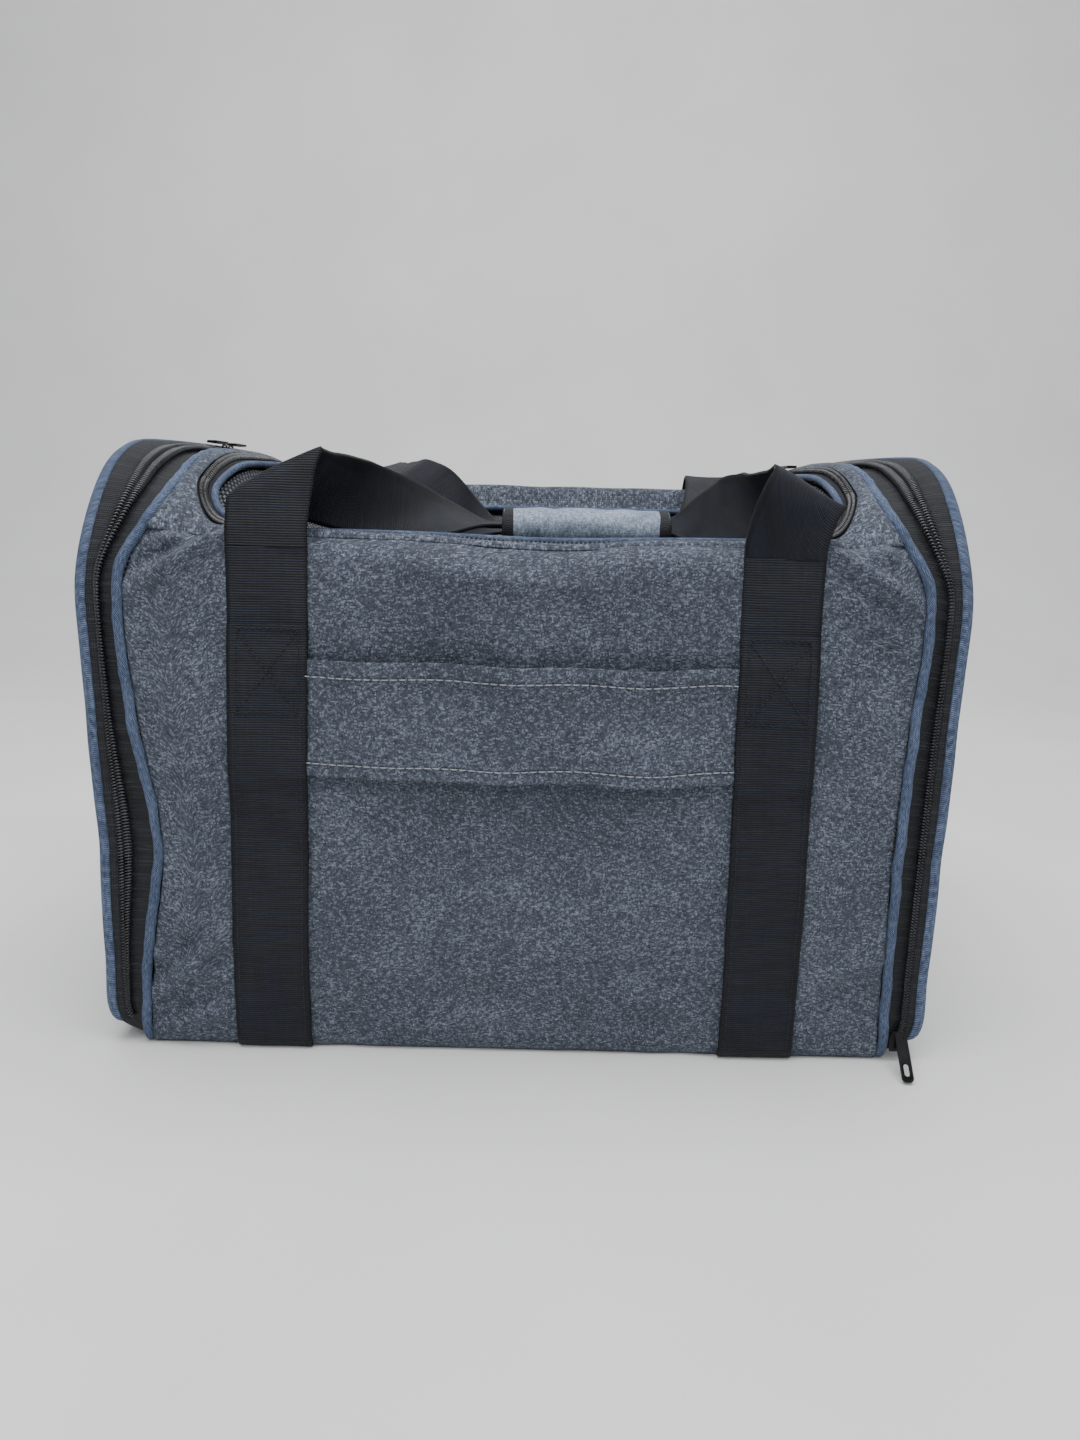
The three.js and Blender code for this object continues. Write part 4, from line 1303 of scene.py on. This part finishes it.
def make_grip():
    """The padded wrap round the front handle, sewn along one edge, and its two bindings."""
    half_y = (GRIP_HIGH.y - GRIP_LOW.y) / 2 - 0.0006
    half_z = (GRIP_HIGH.z - GRIP_LOW.z) / 2 - 0.0010
    start, end = GRIP_LOW.x, GRIP_HIGH.x

    def surface(u, v):
        angle = 2 * math.pi * u
        ends = np.sin(math.pi * v)
        full = 1 + 0.10 * ends ** 0.7
        c, s = np.cos(angle), np.sin(angle)
        y = half_y * np.sign(c) * np.abs(c) ** 0.85
        z = half_z * full * np.sign(s) * np.abs(s) ** 0.8
        x = mix(start, end, v)
        pucker = 0.0005 * waves(x, 0.02 * angle, 0.022, 71)
        lap = 0.0011 * smooth(0.30, 0.305, u) * (1 - smooth(0.60, 0.70, u))
        size = 1 + (pucker + lap) / half_z
        return np.stack([x, GRIP_CENTRE.y + y * (1 + pucker / half_y), GRIP_CENTRE.z + z * size], -1)
    wrap = sheet(
        "grip_wrap_cloth", surface, 120, 90, 0.0016, GRIP_CLOTH, "front_handle", "grip_fabric",
        ["grip_wrap"], loop=True, flip=True,
    )
    run = np.linspace(0.03, 0.97, 200)
    seam = surface(np.full_like(run, 0.315), run)
    make_mixed(
        "grip_wrap_stitching", stitches(seam, lift=np.array([0, 0.3, 0.95])), PALE_THREAD,
        "front_handle", "grip_fabric",
    )
    for name, low, high in (("left", -0.0035, 0.062), ("right", 0.938, 1.0035)):
        def band(u, v, low=low, high=high):
            at = mix(low, high, v)
            points = surface(u, np.clip(at, 0, 1))
            centre = np.array([0, GRIP_CENTRE.y, GRIP_CENTRE.z])
            out = points - centre
            out[..., 0] = 0
            grow = 0.0009 * np.sin(math.pi * np.clip(v, 0.0, 1)) + 0.0004
            out = out / np.maximum(np.linalg.norm(out, axis=-1, keepdims=True), 1e-9)
            points = points + out * np.asarray(grow)[..., None]
            points[..., 0] = mix(start, end, at)
            return points
        sheet(
            f"grip_binding_{name}_tape", band, 120, 8, 0.0011, TAPE, "front_handle", "zip_tape",
            [f"grip_binding_{name}"], loop=True, flip=True,
        )


for corner in STRAP_LEAN:
    make_strap(corner)
make_sleeve()
make_handle("front", -1, FRONT_STATIONS)
make_handle("rear", 1, REAR_STATIONS)
make_grip()


# ---------------------------------------------------------------- zipper sliders and pulls

def extrude_outline(outer, holes, low, high, bevel):
    """A flat plate from outlines in its own plane, with softened edges."""
    curve = bpy.data.curves.new("outline", "CURVE")
    curve.dimensions = "2D"
    curve.fill_mode = "BOTH"
    curve.extrude = (high - low) / 2 - bevel
    curve.bevel_depth = bevel
    curve.bevel_resolution = 2
    curve.offset = -bevel
    for ring in [outer] + holes:
        spline = curve.splines.new("POLY")
        spline.points.add(len(ring) - 1)
        spline.points.foreach_set("co", [c for x, y in ring for c in (x, y, 0, 1)])
        spline.use_cyclic_u = True
    holder = bpy.data.objects.new("outline", curve)
    bpy.context.scene.collection.objects.link(holder)
    bpy.context.view_layer.update()
    mesh = bpy.data.meshes.new_from_object(holder.evaluated_get(bpy.context.evaluated_depsgraph_get()))
    bpy.data.objects.remove(holder)
    bpy.data.curves.remove(curve)
    points = np.array([v.co for v in mesh.vertices], float)
    points[:, 2] += (low + high) / 2
    faces = [list(p.vertices) for p in mesh.polygons]
    bpy.data.meshes.remove(mesh)
    return points, faces, points[:, :2]


def rounded(width, start, end, radius, steps=7):
    """A rounded rectangle's outline about the Y axis."""
    ring = []
    for cx, cy, first in (
        (width / 2 - radius, end - radius, 0), (radius - width / 2, end - radius, 90),
        (radius - width / 2, start + radius, 180), (width / 2 - radius, start + radius, 270),
    ):
        for step in range(steps):
            angle = math.radians(first + 90 * step / (steps - 1))
            ring.append((cx + radius * math.cos(angle), cy + radius * math.sin(angle)))
    return ring


def place_metal(name, parts, hinge, along, out, body, replaced):
    """Turns parts made about the origin so that Y runs along and Z runs out, and places them."""
    points, faces, _ = merge_parts(parts)
    along, out = np.array(along, float), np.array(out, float)
    along /= np.linalg.norm(along)
    out -= along * out.dot(along)
    out /= np.linalg.norm(out)
    across = np.cross(along, out)
    placed = np.asarray(hinge) + points @ np.stack([across, along, out])
    piece = make_object(name, placed, faces, points[:, :2], METAL, body, "zip_metal", [replaced])
    modifier = piece.modifiers.new("edge_split", "EDGE_SPLIT")
    modifier.split_angle = math.radians(50)


def slider_parts():
    """A plate that tapers to the rear, with an arch on it for the pull."""
    half_outline = [
        (0.0030, -0.0055), (0.0039, -0.0020), (0.0040, 0.0020), (0.0034, 0.0046), (0.0018, 0.0055),
    ]
    outline = [(-0.0030, -0.0055)] + half_outline + [(-x, y) for x, y in half_outline[:0:-1]]
    line = curve_through([
        (0, -0.0038, 0.0008), (0, -0.0036, 0.0020), (0, -0.0018, 0.0024), (0, 0.0018, 0.0024),
        (0, 0.0036, 0.0020), (0, 0.0038, 0.0008),
    ], 26)
    return [
        extrude_outline(outline, [], 0.0, 0.0011, 0.0003),
        tube_mesh(line, 0.00062, 8, hint=(1.0, 0, 0)),
    ]


def pull_parts():
    """A moulded tab: a square eye at its root and a long slot at its end, with a raised rim."""
    width, length = 0.0060, 0.025
    outer = rounded(width, 0.0, length, 0.0022)
    inner = rounded(0.0044, 0.0008, length - 0.0008, 0.0015)
    slot = rounded(0.0026, length - 0.0090, length - 0.0030, 0.0013)
    eye = rounded(0.0024, 0.0018, 0.0044, 0.0003, 3)
    return [
        extrude_outline(outer, [slot, eye], 0.0002, 0.0012, 0.00025),
        extrude_outline(outer, [inner], 0.0, 0.0014, 0.0002),
    ]


def make_zip_pull(name, slider_body, pull_body, along, out, hinge, tab_along, tab_out):
    """A slider and its pull tab, moved with the cloth under them."""
    low, high = np.array(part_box(f"{name}_slider"))
    base = (low + high) / 2 - np.array(out) * abs(np.dot(high - low, out)) / 2
    shift = settle(base) - base
    place_metal(
        f"{name}_slider_body", slider_parts(), base + shift, along, out, slider_body,
        f"{name}_slider",
    )
    place_metal(
        f"{name}_pull_tab", pull_parts(), np.array(hinge) + shift, tab_along, tab_out, pull_body,
        f"{name}_pull",
    )


# A tab that lies flat is hinged at the middle of its end, at its underside.
UP = (0, 0, 1)
for name, towards in (("left_front", -1), ("left_rear", 1), ("lid", -1)):
    low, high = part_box(f"{name}_pull")
    root = ((low.x + high.x) / 2, low.y if towards > 0 else high.y, low.z)
    along = (0, towards, 0)
    make_zip_pull(name, f"slider_{name}", f"pull_{name}", along, UP, root, along, UP)

# The right door's tab hangs out and down from its slider, halfway between the two.
HALF_ROOT = math.sqrt(0.5)
RIGHT_PULL_HINGE = (0.20245, -0.1402, 0.01858)
make_zip_pull(
    "right_door", "slider_right_door", "pull_right_door", UP, (0, -1, 0),
    RIGHT_PULL_HINGE, (0, -HALF_ROOT, -HALF_ROOT), (0, -HALF_ROOT, HALF_ROOT),
)


# ---------------------------------------------------------------- bed pad

PAD_SWELL = 0.004
PAD_CORNER = 0.018
PAD_GIVE = 0.006


def make_pad():
    """A fleece pad: a flat bag of cloth, blown up a little, with a welt round its edge."""
    low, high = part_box("bed_pad")
    half_x, half_y = high.x - PAD_SWELL, high.y - PAD_SWELL
    thick = high.z - low.z
    centre_z = (low.z + high.z) / 2
    corner = PAD_CORNER

    X, Y = np.meshgrid(np.linspace(-half_x, half_x, 128), np.linspace(-half_y, half_y, 92))
    over_x = np.clip((np.abs(X) - (half_x - corner)) / corner, 0, 1)
    over_y = np.clip((np.abs(Y) - (half_y - corner)) / corner, 0, 1)
    reach = np.hypot(over_x, over_y)
    scale = np.where(reach > 1e-6, np.maximum(over_x, over_y) / np.maximum(reach, 1e-6), 1)
    X = np.sign(X) * (np.minimum(np.abs(X), half_x - corner) + over_x * scale * corner)
    Y = np.sign(Y) * (np.minimum(np.abs(Y), half_y - corner) + over_y * scale * corner)
    edge = 1 - np.maximum(over_x, over_y)
    bulk = np.sqrt(np.clip(1 - (1 - edge) ** 2, 0, 1))
    half = (0.30 + 0.62 * bulk) * thick / 2
    height, width = X.shape
    top = np.stack([X, Y, centre_z + half], -1).reshape(-1, 3)
    bottom = np.stack([X, Y, centre_z - half], -1).reshape(-1, 3)
    index = np.arange(height * width).reshape(height, width)
    quads = np.stack([index[:-1, :-1], index[:-1, 1:], index[1:, 1:], index[1:, :-1]], -1).reshape(-1, 4)
    rim = np.concatenate([index[0, :-1], index[:-1, -1], index[-1, :0:-1], index[:0:-1, 0]])
    offset = height * width
    side_faces = np.stack([np.roll(rim, -1), rim, rim + offset, np.roll(rim, -1) + offset], -1)
    faces = np.concatenate([quads, quads[:, ::-1] + offset, side_faces])
    points = np.concatenate([top, bottom])
    uvs = points[:, :2] + 1
    pad = make_object("bed_pad_cover", points, faces, uvs, FLEECE, None, "fleece", ["bed_pad"])
    simulate(pad, points, low, high)
    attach(pad, "carrier")
    welt = points[rim].copy()
    welt[:, 2] = centre_z
    cord(
        "bed_pad_welt", welt * np.array([1.006, 1.008, 1.0]), 0.0014, FLEECE, "carrier", "fleece",
        sides=10, loop=True,
    )


def simulate(pad, points, low, high):
    """Blows the cover up as cloth, then keeps each point within a short way of where it began."""
    cloth = pad.modifiers.new("cloth", "CLOTH")
    settings = cloth.settings
    settings.quality = 6
    settings.mass = 0.2
    settings.tension_stiffness = settings.compression_stiffness = 12
    settings.shear_stiffness = 6
    settings.bending_stiffness = 0.3
    settings.use_pressure = True
    settings.uniform_pressure_force = 4.0
    settings.effector_weights.gravity = 0
    cloth.collision_settings.use_self_collision = False
    cloth.collision_settings.use_collision = False
    scene = bpy.context.scene
    for number in range(1, 21):
        scene.frame_set(number)
    graph = bpy.context.evaluated_depsgraph_get()
    shape = pad.evaluated_get(graph).to_mesh()
    moved = np.array([v.co for v in shape.vertices], float)
    pad.evaluated_get(graph).to_mesh_clear()
    pad.modifiers.remove(cloth)
    scene.frame_set(1)
    step = moved - points
    size = np.linalg.norm(step, axis=1, keepdims=True)
    step *= np.minimum(1, PAD_GIVE / np.maximum(size, 1e-9))
    final = points + step
    final[:, 2] = np.clip(final[:, 2], low.z + 0.0002, high.z + 0.003)
    pad.data.vertices.foreach_set("co", final.ravel())
    pad.data.update()


make_pad()

# ---------------------------------------------------------------- size and end

low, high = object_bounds()
